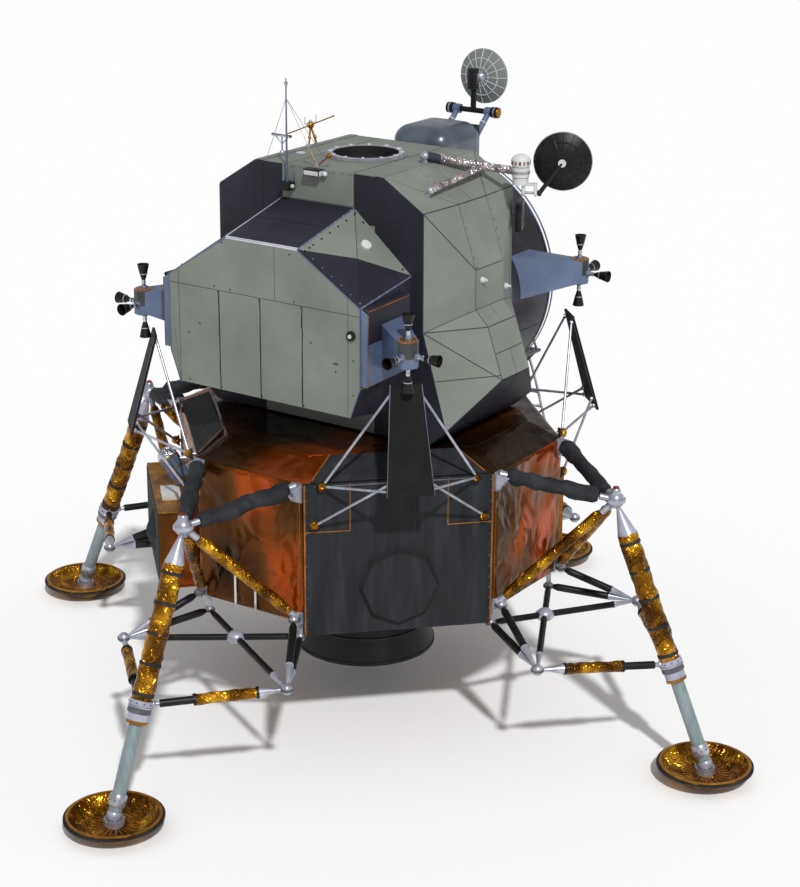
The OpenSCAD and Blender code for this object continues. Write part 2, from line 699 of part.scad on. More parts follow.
// The forward hatch opens inwards on two pins at its starboard edge.
hatch_x1 = hatch_bay_x1 - shell_wall - hatch_gap;
hatch_pin_x = hatch_x1 - hatch_t / 2;
hatch_pin_y = -hatch_w / 2 - 22;
module front_hatch() {
    color("#5a4a30") union() {
        translate([hatch_x1 - hatch_t, -hatch_w / 2, hatch_z]) cube([hatch_t, hatch_w, hatch_w]);
        for (z = [hatch_z + 120, hatch_z + hatch_w - 180])
            translate([hatch_pin_x, hatch_pin_y, z]) difference() {
                union() {
                    cylinder(h = 60, r = 20);
                    translate([-12, 0, 0]) cube([24, 30, 60]);
                }
                translate([0, 0, -1]) cylinder(h = 62, r = hatch_pin_r + pin_gap);
            }
        translate([hatch_x1 - hatch_t - 50, 220, hatch_z + hatch_w / 2 - 20]) cube([51, 90, 40]);
    }
}

// ---------- top of the ascent stage ----------

module docking_ring() {
    color("#b6b8ba") difference() {
        translate([0, 0, roof_z]) cylinder(h = shell_wall + ring_h, r = tunnel_r + ring_wall);
        translate([0, 0, roof_z - 1]) cylinder(h = shell_wall + ring_h + 2, r = tunnel_r);
    }
}

// The overhead hatch hangs under the roof and swings down on its aft edge.
lid_r = tunnel_r + 30;
lid_t = 35;
lid_gap = 6;
lid_pin_x = -lid_r - 25;
lid_pin_z = roof_z - lid_gap - lid_t / 2;
module overhead_hatch() {
    color("#9a9c9e") union() {
        translate([0, 0, roof_z - lid_gap - lid_t]) cylinder(h = lid_t, r = lid_r);
        for (s = [-1, 1]) difference() {
            translate([lid_pin_x, s * 150 - 30, lid_pin_z]) union() {
                rotate([-90, 0, 0]) cylinder(h = 60, r = 16);
                translate([0, 0, -12]) cube([110, 60, 24]);
            }
            translate([lid_pin_x, s * 150 - 31, lid_pin_z]) rotate([-90, 0, 0])
                cylinder(h = 62, r = hatch_pin_r + pin_gap);
        }
        translate([200, -60, roof_z - lid_gap - lid_t - 40]) cube([30, 120, 41]);
    }
}

// ---------- thruster clusters ----------

can_r = 105;
can_h = 270;
module thrusters(sx, sy, z) {
    c = [sx * cluster_xy, sy * cluster_xy, z];
    color("#1b1c1e") translate(c) union() {
        translate([0, 0, -can_h / 2]) cylinder(h = can_h, r = can_r);
        for (d = [[0, 0, 1], [0, 0, -1]]) nozzle(d * (can_h / 2 - 5), d);
        nozzle([sx * (can_r - 8), 0, -20], [sx, 0, 0]);
        nozzle([0, sy * (can_r - 8), -20], [0, sy, 0]);
    }
}

// One thruster: a silver neck and a flared bell, hollow at its mouth.
neck_l = 95;
bell_l = 165;
module nozzle(at, d) {
    translate(at) rotate([0, acos(d.z), atan2(d.y, d.x)]) rotate_extrude($fn = 32)
        polygon([[0, 0], [38, 0], [20, neck_l], [38, neck_l + bell_l * 0.4],
            [nozzle_r, neck_l + bell_l], [nozzle_r - 6, neck_l + bell_l],
            [30, neck_l + bell_l * 0.4], [0, neck_l + 25]]);
}
module front_port_thrusters() { thrusters(1, 1, front_cluster_z); }
module front_starboard_thrusters() { thrusters(1, -1, front_cluster_z); }
module aft_port_thrusters() { thrusters(-1, 1, aft_cluster_z); }
module aft_starboard_thrusters() { thrusters(-1, -1, aft_cluster_z); }

// Tapered arms that carry the clusters from the cabin and the aft bay.
// Columns: root x, root y, root z, half height at the root.
FRONT_ARM = [1110, 1180, 4600, 260];
AFT_ARM = [-1230, 1120, 4440, 260];
module cluster_fairings() {
    color("#4a5468") for (s = [1, -1]) {
        difference() {
            arm(FRONT_ARM, [cluster_xy, s * cluster_xy, front_cluster_z], s);
            translate([0, 0, drum_z]) rotate([0, 90, 0]) cylinder(h = 3000, r = drum_r + fit_gap, $fn = 96);
            can_hole([cluster_xy, s * cluster_xy]);
        }
        difference() {
            arm(AFT_ARM, [-cluster_xy, s * cluster_xy, aft_cluster_z], s);
            aft_bay_block();
            can_hole([-cluster_xy, s * cluster_xy]);
        }
    }
}
module can_hole(p) { translate([p.x, p.y, 4000]) cylinder(h = 1200, r = can_r + fit_gap); }
module arm(root, tip, s) {
    w = 200;
    side = 75 * sign(tip.x) * s;
    convex([
        for (dx = [-w, w]) for (dz = [-1, 1]) [root[0] + dx, s * root[1], root[2] + dz * root[3]],
        for (k = [-1, 1]) for (dz = [-1, 1])
            [tip.x + k * 75, tip.y - k * side, tip.z + dz * 118]]);
}

// ---------- rendezvous radar ----------

radar_yoke_y = 205;
hump_r = 480;
hump_at = [1310, 0, 5625];
module radar_fairing() {
    color("#7d8ba0") difference() {
        translate(hump_at) sphere(r = hump_r);
        translate([0, 0, drum_z]) rotate([0, 90, 0]) cylinder(h = 3000, r = drum_r + fit_gap, $fn = 96);
        translate([drum_x0 - 1000, -600, drum_z]) cube([1001, 1200, 3000]);
        for (s = [-1, 1]) arm_blank(s, 5 * fit_gap);
    }
}

module arm_blank(s, grow) {
    translate([arm_foot_x - 60 - grow, s * radar_yoke_y - 45 - grow, drum_z + drum_r - 200])
        cube([120 + 2 * grow, 90 + 2 * grow, 250]);
    bar([arm_foot_x, s * radar_yoke_y, arm_root_z], [radar_x - 10, s * radar_yoke_y, radar_z - 10], 32 + grow);
}
arm_foot_x = 1650;
arm_root_z = drum_z + drum_r + 30;

module radar_arms() {
    color("#5a6a8a") for (s = [-1, 1]) difference() {
        union() {
            arm_blank(s, 0);
            translate([radar_x, s * radar_yoke_y - 40, radar_z]) rotate([-90, 0, 0]) cylinder(h = 80, r = 52);
        }
        translate([radar_x, s * radar_yoke_y - 60, radar_z]) rotate([-90, 0, 0])
            cylinder(h = 120, r = radar_shaft_r + pin_gap);
        translate([0, 0, drum_z]) rotate([0, 90, 0]) cylinder(h = 3000, r = drum_r + fit_gap, $fn = 96);
    }
}
radar_shaft_r = 30;

// The cross shaft with its end drums and the post that holds the trunnion.
post_top_z = radar_z + trunnion_up;
module radar_shaft() {
    color("#2a2b2d") union() {
        translate([radar_x, -radar_yoke_y - 50, radar_z]) rotate([-90, 0, 0])
            cylinder(h = 2 * radar_yoke_y + 100, r = radar_shaft_r);
        for (s = [-1, 1])
            translate([radar_x, s > 0 ? radar_yoke_y + 45 : -radar_yoke_y - 125, radar_z])
                rotate([-90, 0, 0]) cylinder(h = 80, r = 60);
        translate([radar_x, 0, radar_z]) cylinder(h = trunnion_up - 100, r = 32);
        difference() {
            translate([radar_x - 20, 0, post_top_z - 110]) cylinder(h = 220, r = 65);
            translate([radar_x - 42, -90, post_top_z - 60]) cube([200, 180, 120]);
            translate([radar_x, 0, post_top_z - 90]) cylinder(h = 180, r = trunnion_pin_r + pin_gap);
        }
    }
}

// The dish turns about the post on a pin; its boresight is +X.
dish_depth = 90;
trunnion_pin_r = 16;
module radar_dish() {
    color("#b9bab8") union() {
        translate([radar_x, 0, post_top_z - 85]) cylinder(h = 170, r = trunnion_pin_r);
        translate([radar_x, 0, post_top_z - 54]) cylinder(h = 108, r = 36);
        translate([radar_x, 0, post_top_z]) rotate([0, 90, 0]) cylinder(h = 130, r = 28);
        translate([radar_x + 120, 0, post_top_z]) rotate([0, 90, 0]) dish(radar_dish_r, dish_depth, 8);
        translate([radar_x + 125, 0, post_top_z]) rotate([0, 90, 0]) cylinder(h = 190, r = 14);
    }
}

// A shallow dish opening along +Z, with the apex at the origin.
dish_steps = 6;
module dish(r, depth, wall) {
    rotate_extrude($fn = 72) polygon(concat(
        [for (i = [0 : dish_steps]) [r * i / dish_steps, depth * pow(i / dish_steps, 2) + wall]],
        [for (i = [dish_steps : -1 : 0]) [r * i / dish_steps, depth * pow(i / dish_steps, 2)]]));
}

// ---------- steerable antenna ----------

// The boom leaves the deck's edge; a brace meets it at the elbow.
boom_elbow = [500, -1140, 5886];
boom_hub = [500, -1575, 5880];
boom_root = [0, -735, 6022];
brace_root = [-545, -1165, 5815];
boom_r = 44;
brace_r = 34;
hub_boss_r = 90;
spindle_r = 38;
module steerable_boom() {
    color("#c4c6cc") difference() {
        union() {
            bar(boom_root, boom_elbow, boom_r);
            bar(boom_elbow, boom_hub, boom_r);
            bar(brace_root, boom_elbow, brace_r);
            translate(boom_elbow) sphere(r = 58);
            translate(boom_root) sphere(r = boom_r + 7);
            translate(brace_root) sphere(r = brace_r + 6);
            translate([boom_root.x, boom_root.y, top_deck_z + fit_gap])
                cylinder(h = boom_root.z - top_deck_z, r = 36);
            bar(brace_root, brace_root - chamfer_normal * (brace_lift - fit_gap), 26);
            translate(boom_hub - [0, 0, 50]) cylinder(h = 100, r = hub_boss_r);
        }
        translate(boom_hub - [0, 0, 60]) cylinder(h = 120, r = spindle_r + pin_gap);
    }
}
// The starboard deck chamfer, from the deck's edge to the side bay's shoulder.
chamfer_dir = (SIDE_MID[1] - SIDE_MID[0]) / norm(SIDE_MID[1] - SIDE_MID[0]);
chamfer_normal = [0, chamfer_dir.y, chamfer_dir.x];
brace_lift = (brace_root - [0, -SIDE_MID[0].x, SIDE_MID[0].y]) * chamfer_normal;

// The yoke hangs from the boom's hub, turns about Z and carries two ears.
steer_yaw = 26;
steer_pin_drop = 215;
steer_pin_out = 95;
ear_y = 62;
ear_t = 24;
steer_pin_r = 14;
module steerable_yoke() {
    color("#d8d8d6") translate(boom_hub) rotate([0, 0, steer_yaw]) union() {
        translate([0, 0, -130]) cylinder(h = 185, r = spindle_r);
        translate([0, 0, 55]) cylinder(h = 12, r = hub_boss_r - 20);
        translate([0, 0, -130]) cylinder(h = 75, r = hub_boss_r - 8);
        for (s = [-1, 1]) difference() {
            union() {
                translate([-35, -steer_pin_out + s * ear_y - ear_t / 2, -steer_pin_drop])
                    cube([70, ear_t, steer_pin_drop - 125]);
                translate([0, -steer_pin_out + s * ear_y - ear_t / 2, -steer_pin_drop]) rotate([-90, 0, 0])
                    cylinder(h = ear_t, r = 35);
            }
            translate([0, -300, -steer_pin_drop]) rotate([-90, 0, 0]) cylinder(h = 400, r = steer_pin_r + pin_gap);
        }
        translate([-35, -steer_pin_out - ear_y - ear_t / 2, -140]) cube([70, 2 * ear_y + ear_t, 25]);
    }
}

// The dish tilts on the yoke's pin; its arm lifts it clear to starboard.
steer_arm = [0, -320, 300];
steer_hub_out = 102;                // the arm's hub, outside the starboard ear
module steerable_dish() {
    color("#2a2a2e") translate(boom_hub) rotate([0, 0, steer_yaw])
        translate([0, -steer_pin_out, -steer_pin_drop]) union() {
            translate([0, -steer_hub_out - 20, 0]) rotate([-90, 0, 0])
                cylinder(h = steer_hub_out + 20 + ear_y + ear_t, r = steer_pin_r);
            translate([0, -steer_hub_out - 20, 0]) rotate([-90, 0, 0]) cylinder(h = 40, r = 30);
            bar([0, -steer_hub_out, 0], [90, steer_arm.y, steer_arm.z], 24);
            translate([84, steer_arm.y, steer_arm.z]) rotate([0, 90, 0]) dish(steer_dish_r, 95, 8);
            translate([70, steer_arm.y, steer_arm.z]) rotate([0, 90, 0]) cylinder(h = 200, r = 24);
        }
}

// ---------- small antennas and fittings ----------

whip_at = [-905, 345];
whip_box_z = 5700;
whip_top_z = 6830;
module whip_antenna() {
    color("#d0d2d6") union() {
        translate([-mid_half_l - 125, whip_at.y - 60, whip_box_z]) cube([125 - fit_gap, 120, 80]);
        translate([whip_at.x, whip_at.y, whip_box_z + 79]) cylinder(h = whip_top_z - whip_box_z - 79, r1 = 10, r2 = 5);
    }
}

tee_at = [-450, 750];
module tee_antenna() {
    color("#c8cacc") union() {
        translate([tee_at.x, tee_at.y, top_deck_z + fit_gap]) cylinder(h = 190, r = 9);
        translate([tee_at.x - 20, tee_at.y - 110, top_deck_z + 180]) cube([40, 230, 16]);
    }
}

// A folding aerial on three legs, standing on the port chamfer.
tripod_top = [330, 960, 6110];
module tripod_antenna() {
    color("#b08020") difference() {
        union() {
            for (p = [[250, 930], [430, 930], [340, 840]])
                bar([p.x, p.y, top_deck_z - 130], tripod_top, 10);
            translate(tripod_top) sphere(r = 30);
            bar(tripod_top - [110, -240, 110], tripod_top + [110, -240, 110], 7);
        }
        convex([for (x = [-mid_half_l, mid_half_l]) for (p = concat(SIDE_MID, [[700, 5950], [700, 4500]]))
            [x, p.x + fit_gap, p.y + fit_gap]]);
    }
}

// The pin and two lugs that the tool pallet folds on.
module pallet_hinge() {
    color("#8a8c90") rotate([0, 0, 315]) {
        y1 = pallet_w / 2 + 8;
        at = [diagonal_r + pallet_gap + pallet_pin_in, 0, pallet_z + pallet_pin_in];
        union() {
            translate(at - [0, y1 + 30, 0]) rotate([-90, 0, 0]) cylinder(h = 2 * y1 + 60, r = pallet_pin_r);
            for (s = [-1, 1]) translate([diagonal_r + fit_gap, s * (y1 + 20) - 15, at.z - 30])
                cube([pallet_gap + pallet_pin_in + 20, 30, 60]);
        }
    }
}

// Pins, lamp box and lugs that belong to the fixed body.
lamp_box = [-935, -75, 5880];
module deck_fittings() {
    color("#3a3c40") union() {
        translate(lamp_box) cube([-lamp_box.x - mid_half_l - fit_gap, 190, 62]);
        translate([hatch_pin_x, hatch_pin_y, hatch_bay_z0 + shell_wall]) cylinder(
            h = hatch_bay_z1 - hatch_bay_z0 - 2 * shell_wall, r = hatch_pin_r);
        for (s = [-1, 1])
            translate([lid_pin_x, s * 190 - 80, lid_pin_z]) rotate([-90, 0, 0]) cylinder(h = 160, r = hatch_pin_r);
        for (s = [-1, 1])
            translate([lid_pin_x - 15, s * 255 - 15, lid_pin_z]) cube([30, 30, roof_z - lid_pin_z]);
    }
}

descent_body();
stage_cover();
aft_starboard_panel();
forward_port_panel();
equipment_bay();
tool_pallet();
pallet_hinge();
fuel_cask();
interstage_posts();
engine_mount();
gimbal_ring();
descent_engine();
upper_outriggers();
lower_outriggers();
gear_brackets();
gear_trusses();
main_strut(0);  // front_main_strut
main_strut(90);  // port_main_strut
main_strut(180);  // aft_main_strut
main_strut(270);  // starboard_main_strut
side_struts();
footpad(0);  // front_footpad
footpad(90);  // port_footpad
footpad(180);  // aft_footpad
footpad(270);  // starboard_footpad
ladder();
porch();
deflector_plates();
deflector_frames();
midsection();
port_tank_bay();
starboard_tank_bay();
aft_equipment_bay();
ascent_engine();
cabin_drum();
front_face();
cabin_floor();
window_panes();
front_hatch();
docking_ring();
overhead_hatch();
cluster_fairings();
front_port_thrusters();
front_starboard_thrusters();
aft_port_thrusters();
aft_starboard_thrusters();
radar_fairing();
radar_arms();
radar_shaft();
radar_dish();
steerable_boom();
steerable_yoke();
steerable_dish();
whip_antenna();
tee_antenna();
tripod_antenna();
deck_fittings();
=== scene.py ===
"""Finishes and fine pieces for the lunar landing vehicle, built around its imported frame."""
import json
import logging
import math
from dataclasses import dataclass
from enum import Enum
from typing import Callable, Iterable, Sequence

import bmesh
import bpy
from mathutils import Matrix, Vector, noise


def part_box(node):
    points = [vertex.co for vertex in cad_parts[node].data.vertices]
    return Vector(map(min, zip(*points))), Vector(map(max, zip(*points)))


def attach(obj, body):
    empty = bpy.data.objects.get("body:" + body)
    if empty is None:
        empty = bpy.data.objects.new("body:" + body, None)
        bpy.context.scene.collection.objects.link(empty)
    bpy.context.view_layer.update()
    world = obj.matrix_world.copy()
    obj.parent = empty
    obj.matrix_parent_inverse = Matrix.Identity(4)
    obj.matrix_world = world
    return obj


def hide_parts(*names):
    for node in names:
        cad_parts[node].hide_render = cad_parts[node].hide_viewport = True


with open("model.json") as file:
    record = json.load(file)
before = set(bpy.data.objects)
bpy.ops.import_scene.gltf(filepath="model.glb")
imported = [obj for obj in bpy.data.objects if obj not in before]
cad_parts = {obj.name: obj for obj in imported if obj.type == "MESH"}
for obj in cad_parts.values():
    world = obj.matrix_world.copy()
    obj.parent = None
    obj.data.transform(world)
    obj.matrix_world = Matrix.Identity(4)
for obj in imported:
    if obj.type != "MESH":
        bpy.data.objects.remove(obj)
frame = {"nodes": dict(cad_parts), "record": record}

log = logging.getLogger("lander")
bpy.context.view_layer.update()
RECORD = frame["record"]
LEGS = (0, 90, 180, 270)
QUADS = (45, 135, 225, 315)
Point = tuple[float, float, float]
X = Vector((1, 0, 0))
Z = Vector((0, 0, 1))


# ---------- finishes ----------

class Look(Enum):
    """How a surface is broken up."""

    PAINT = "paint"
    FOIL = "foil"
    CLOTH = "cloth"
    METAL = "metal"


def rgb(code: str) -> tuple[float, float, float, float]:
    """Turns a web colour into linear light.

    Args:
        code: Six hex digits.

    Returns:
        Linear red, green, blue and an alpha of 1.
    """
    channels = [int(code[i:i + 2], 16) / 255 for i in (0, 2, 4)]
    linear = [c / 12.92 if c <= 0.04045 else ((c + 0.055) / 1.055) ** 2.4 for c in channels]
    return (*linear, 1.0)


@dataclass(frozen=True)
class Finish:
    """A surface finish: colours, gloss and the relief that breaks them up."""

    name: str
    look: Look
    low: str
    mid: str
    high: str
    metallic: float = 0.0
    rough: tuple[float, float] = (0.4, 0.6)
    grain: float = 30.0
    relief: float = 0.002
    patch: float = 1.5
    stretch: Point = (1.0, 1.0, 1.0)
    coat: float = 0.0
    specular: float = 0.5

    def material(self) -> bpy.types.Material:
        """Builds the node material once and returns it from then on."""
        title = f"finish_{self.name}"
        old = bpy.data.materials.get(title)
        if old:
            return old
        mat = bpy.data.materials.new(title)
        mat.use_nodes = True
        tree = mat.node_tree
        shader = tree.nodes["Principled BSDF"]
        shader.inputs["Metallic"].default_value = self.metallic
        shader.inputs["Coat Weight"].default_value = self.coat
        shader.inputs["Specular IOR Level"].default_value = self.specular
        place = self._place(tree)
        soft = self.look is Look.FOIL
        patches = self._noise(tree, place, self.patch, 1.5 if soft else 5, 0.4 if soft else 0.62)
        fine = self._noise(tree, place, self.grain, 3, 0.5)
        relief, blend = self._relief(tree, place, patches, fine)
        ramp = tree.nodes.new("ShaderNodeValToRGB")
        ramp.color_ramp.elements[0].position = 0.3
        ramp.color_ramp.elements[0].color = rgb(self.low)
        ramp.color_ramp.elements[1].position = 0.72
        ramp.color_ramp.elements[1].color = rgb(self.high)
        ramp.color_ramp.elements.new(0.52).color = rgb(self.mid)
        tree.links.new(blend, ramp.inputs["Fac"])
        tree.links.new(ramp.outputs["Color"], shader.inputs["Base Color"])
        gloss = tree.nodes.new("ShaderNodeMapRange")
        gloss.inputs["To Min"].default_value = self.rough[0]
        gloss.inputs["To Max"].default_value = self.rough[1]
        tree.links.new(fine, gloss.inputs["Value"])
        tree.links.new(gloss.outputs["Result"], shader.inputs["Roughness"])
        bump = tree.nodes.new("ShaderNodeBump")
        bump.inputs["Strength"].default_value = 1.0
        bump.inputs["Distance"].default_value = self.relief
        tree.links.new(relief, bump.inputs["Height"])
        tree.links.new(bump.outputs["Normal"], shader.inputs["Normal"])
        return mat

    def _place(self, tree: bpy.types.NodeTree) -> bpy.types.NodeSocket:
        """Adds object coordinates, stretched along the finish's grain.

        Args:
            tree: The material's nodes.

        Returns:
            The stretched coordinates.
        """
        coord = tree.nodes.new("ShaderNodeTexCoord")
        mapping = tree.nodes.new("ShaderNodeMapping")
        mapping.inputs["Scale"].default_value = self.stretch
        tree.links.new(coord.outputs["Object"], mapping.inputs["Vector"])
        return mapping.outputs["Vector"]

    def _noise(self, tree: bpy.types.NodeTree, place: bpy.types.NodeSocket, scale: float,
               detail: float, roughness: float) -> bpy.types.NodeSocket:
        """Adds a noise texture.

        Args:
            tree: The material's nodes.
            place: The coordinates it reads.
            scale: Its features per metre.
            detail: Its octaves.
            roughness: The weight of the finer octaves.

        Returns:
            Its value.
        """
        node = tree.nodes.new("ShaderNodeTexNoise")
        node.inputs["Scale"].default_value = scale
        node.inputs["Detail"].default_value = detail
        node.inputs["Roughness"].default_value = roughness
        tree.links.new(place, node.inputs["Vector"])
        return node.outputs["Fac"]

    def _relief(self, tree: bpy.types.NodeTree, place: bpy.types.NodeSocket,
                patches: bpy.types.NodeSocket, fine: bpy.types.NodeSocket
                ) -> tuple[bpy.types.NodeSocket, bpy.types.NodeSocket]:
        """Picks what the relief and the colour follow for this look.

        Args:
            tree: The material's nodes.
            place: The coordinates.
            patches: Broad noise.
            fine: Fine noise.

        Returns:
            The height for the relief, and the value for the colours.
        """
        if self.look in (Look.PAINT, Look.METAL):
            return fine, patches
        cells = tree.nodes.new("ShaderNodeTexVoronoi")
        cells.feature = "F1" if self.look is Look.FOIL else "SMOOTH_F1"
        cells.inputs["Scale"].default_value = self.grain
        warp = tree.nodes.new("ShaderNodeVectorMath")
        warp.operation = "MULTIPLY_ADD"
        warp.inputs[1].default_value = (0.9, 0.9, 0.9)
        tree.links.new(place, warp.inputs[2])
        tree.links.new(patches, warp.inputs[0])
        tree.links.new(warp.outputs[0], cells.inputs["Vector"])
        mix = tree.nodes.new("ShaderNodeMath")
        mix.operation = "MULTIPLY_ADD"
        mix.inputs[1].default_value = 0.35 if self.look is Look.FOIL else 0.15
        tree.links.new(cells.outputs["Distance"], mix.inputs[0])
        tree.links.new(patches, mix.inputs[2])
        return cells.outputs["Distance"], mix.outputs[0] if self.look is Look.CLOTH else patches


LIGHT = Finish("light_panel", Look.PAINT, "6a6f68", "737871", "7c817a", rough=(0.55, 0.7), grain=160,
               relief=0.0003, specular=0.3)
LIGHT_EDGE = Finish("edge_strip", Look.PAINT, "a4a8b4", "b8bcc8", "d0d2dc", rough=(0.35, 0.5), grain=120,
                    relief=0.0004)
DARK = Finish("dark_panel", Look.PAINT, "1b1a23", "24232d", "2d2c38", rough=(0.5, 0.65), grain=140,
              relief=0.0003, specular=0.2)
SEAM = Finish("seam_blue", Look.PAINT, "161a2c", "1e2438", "283048", rough=(0.5, 0.7), grain=90,
              relief=0.0003)
BLUE_GREY = Finish("blue_grey_skin", Look.PAINT, "46526a", "52607a", "60708c", 0.1, (0.4, 0.55), 120, 0.0004)
SATIN_BLUE = Finish("satin_dome", Look.PAINT, "4c545e", "5e6874", "727c88", 0.5, (0.24, 0.32), 20, 0.0003, 2)
CHARCOAL = Finish("charcoal_panel", Look.PAINT, "1d1f21", "25272a", "2f3134", rough=(0.65, 0.8), grain=80,
                  relief=0.0006, stretch=(6, 6, 0.7), specular=0.15)
PLATE = Finish("deflector_black", Look.PAINT, "0c0e0d", "121413", "1a1d1c", rough=(0.55, 0.7), grain=90,
               relief=0.0004, patch=3, specular=0.12)
# The foils' brightest colours (high) are partly the foil's own uneven tone and partly painted highlight spots.
AMBER = Finish("amber_foil", Look.FOIL, "241402", "5c3404", "c8500a", 0.78, (0.2, 0.36), 4.5, 0.02, 1.5,
               (1, 1, 0.55))
BROWN = Finish("brown_foil", Look.FOIL, "180d02", "3c2104", "9c440a", 0.7, (0.2, 0.34), 3.5, 0.012, 0.9)
GOLD = Finish("gold_foil", Look.FOIL, "4c2e04", "8a5a0a", "e0a428", 0.88, (0.16, 0.3), 15, 0.02, 5)
GOLD_TRIM = Finish("gold_trim", Look.METAL, "7a4e0c", "9c6a14", "c08a26", 0.7, (0.3, 0.45), 60, 0.0006, 8)
BRONZE = Finish("bronze_trim", Look.METAL, "6c3c08", "8a520e", "a8681a", 0.4, (0.35, 0.5), 60, 0.0005, 6)
BLANKET = Finish("grey_blanket", Look.CLOTH, "18191c", "242529", "303136", rough=(0.65, 0.85), grain=9,
                 relief=0.012, patch=5, specular=0.2)
TUBE = Finish("black_tube", Look.PAINT, "08090a", "0f1011", "18191b", rough=(0.35, 0.5), grain=90,
              relief=0.0004, patch=4, specular=0.25)
CAN = Finish("can_grey", Look.PAINT, "2c2d2f", "38393b", "48494c", 0.2, (0.4, 0.55), 90, 0.0006, 6)
SILVER = Finish("silver_fitting", Look.METAL, "868894", "a4a6b0", "c8c8d2", 0.6, (0.25, 0.4), 90, 0.0005, 6)
LAVENDER = Finish("lavender_collar", Look.PAINT, "8c8c9c", "a0a0b0", "b8b8c8", 0.3, (0.3, 0.45), 70, 0.0005,
                  5)
CRINKLE = Finish("silver_crinkle", Look.FOIL, "84868e", "b8bac2", "f4f6fa", 0.9, (0.12, 0.26), 22, 0.012, 8)
PISTON = Finish("piston_grey", Look.METAL, "6e7c7e", "7c8a8c", "8c9a9c", 0.2, (0.35, 0.45), 60, 0.0003, 4,
                (4, 4, 0.5))
ENGINE = Finish("engine_metal", Look.METAL, "121214", "1a1a1d", "26262a", 0.4, (0.45, 0.6), 40, 0.001, 3,
                (1, 1, 0.4))
BELL = Finish("bell_black", Look.METAL, "08080a", "0e0e12", "1a1a20", 0.4, (0.32, 0.5), 70, 0.0005, 8)
CHROME = Finish("chrome_neck", Look.METAL, "a0a2a8", "bcbec4", "e0e2e6", 1.0, (0.1, 0.2), 120, 0.0003, 9)
FRAME_METAL = Finish("frame_metal", Look.METAL, "46474a", "56575b", "6c6d72", 0.4, (0.4, 0.55), 60, 0.0006, 4)
WHITE = Finish("white_paint", Look.PAINT, "b0b2b0", "c4c5c3", "d8d9d7", rough=(0.35, 0.5), grain=90,
               relief=0.0005, patch=5)
ORANGE = Finish("orange_band", Look.PAINT, "7a4008", "9c5a10", "b87020", 0.3, (0.35, 0.5), 80, 0.0006, 7)
RED = Finish("red_cap", Look.PAINT, "5c1810", "7c2416", "983420", 0.2, (0.35, 0.5), 80, 0.0005, 7)
PANE = Finish("window_pane", Look.PAINT, "0c0f14", "141820", "1e242e", 0.1, (0.05, 0.12), 20, 0.0002, 2,
              coat=1.0)
PURPLE = Finish("purple_black", Look.PAINT, "14111a", "1c1824", "282230", 0.15, (0.35, 0.5), 100, 0.0005)
# Near-black for the overhead hatch and a sleeve in the docking ring's bore: painted shadow down the tunnel.
TUNNEL_SHADOW = Finish("lid_shadow_black", Look.PAINT, "040405", "070708", "0c0c0e", rough=(0.6, 0.8), grain=60,
             relief=0.0005)

SLOT_FINISH = {
    "amber_foil": AMBER, "brown_foil": BROWN, "charcoal_skin": CHARCOAL, "dark_skin": PURPLE,
    "light_skin": SEAM, "blue_grey_skin": BLUE_GREY, "gold_foil": GOLD, "grey_blanket": BLANKET,
    "black_tube": TUBE, "fitting": SILVER, "pad_skin": GOLD, "engine_metal": ENGINE,
    "frame_metal": FRAME_METAL, "pane": PANE, "white_paint": WHITE, "gold_paint": GOLD_TRIM,
}


# ---------- shapes ----------

def turn(angle: float) -> Matrix:
    """Returns the turn about the vehicle's upright axis, in degrees."""
    return Matrix.Rotation(math.radians(angle), 4, "Z")


def aim(a: Vector, b: Vector) -> Matrix:
    """Returns the placing that puts +Z along the line from a to b, at a."""
    return Matrix.Translation(a) @ (b - a).to_track_quat("Z", "Y").to_matrix().to_4x4()


def along(a: Vector, b: Vector, share: float) -> Vector:
    """Returns the point at a share of the way from a to b."""
    return a + (b - a) * share


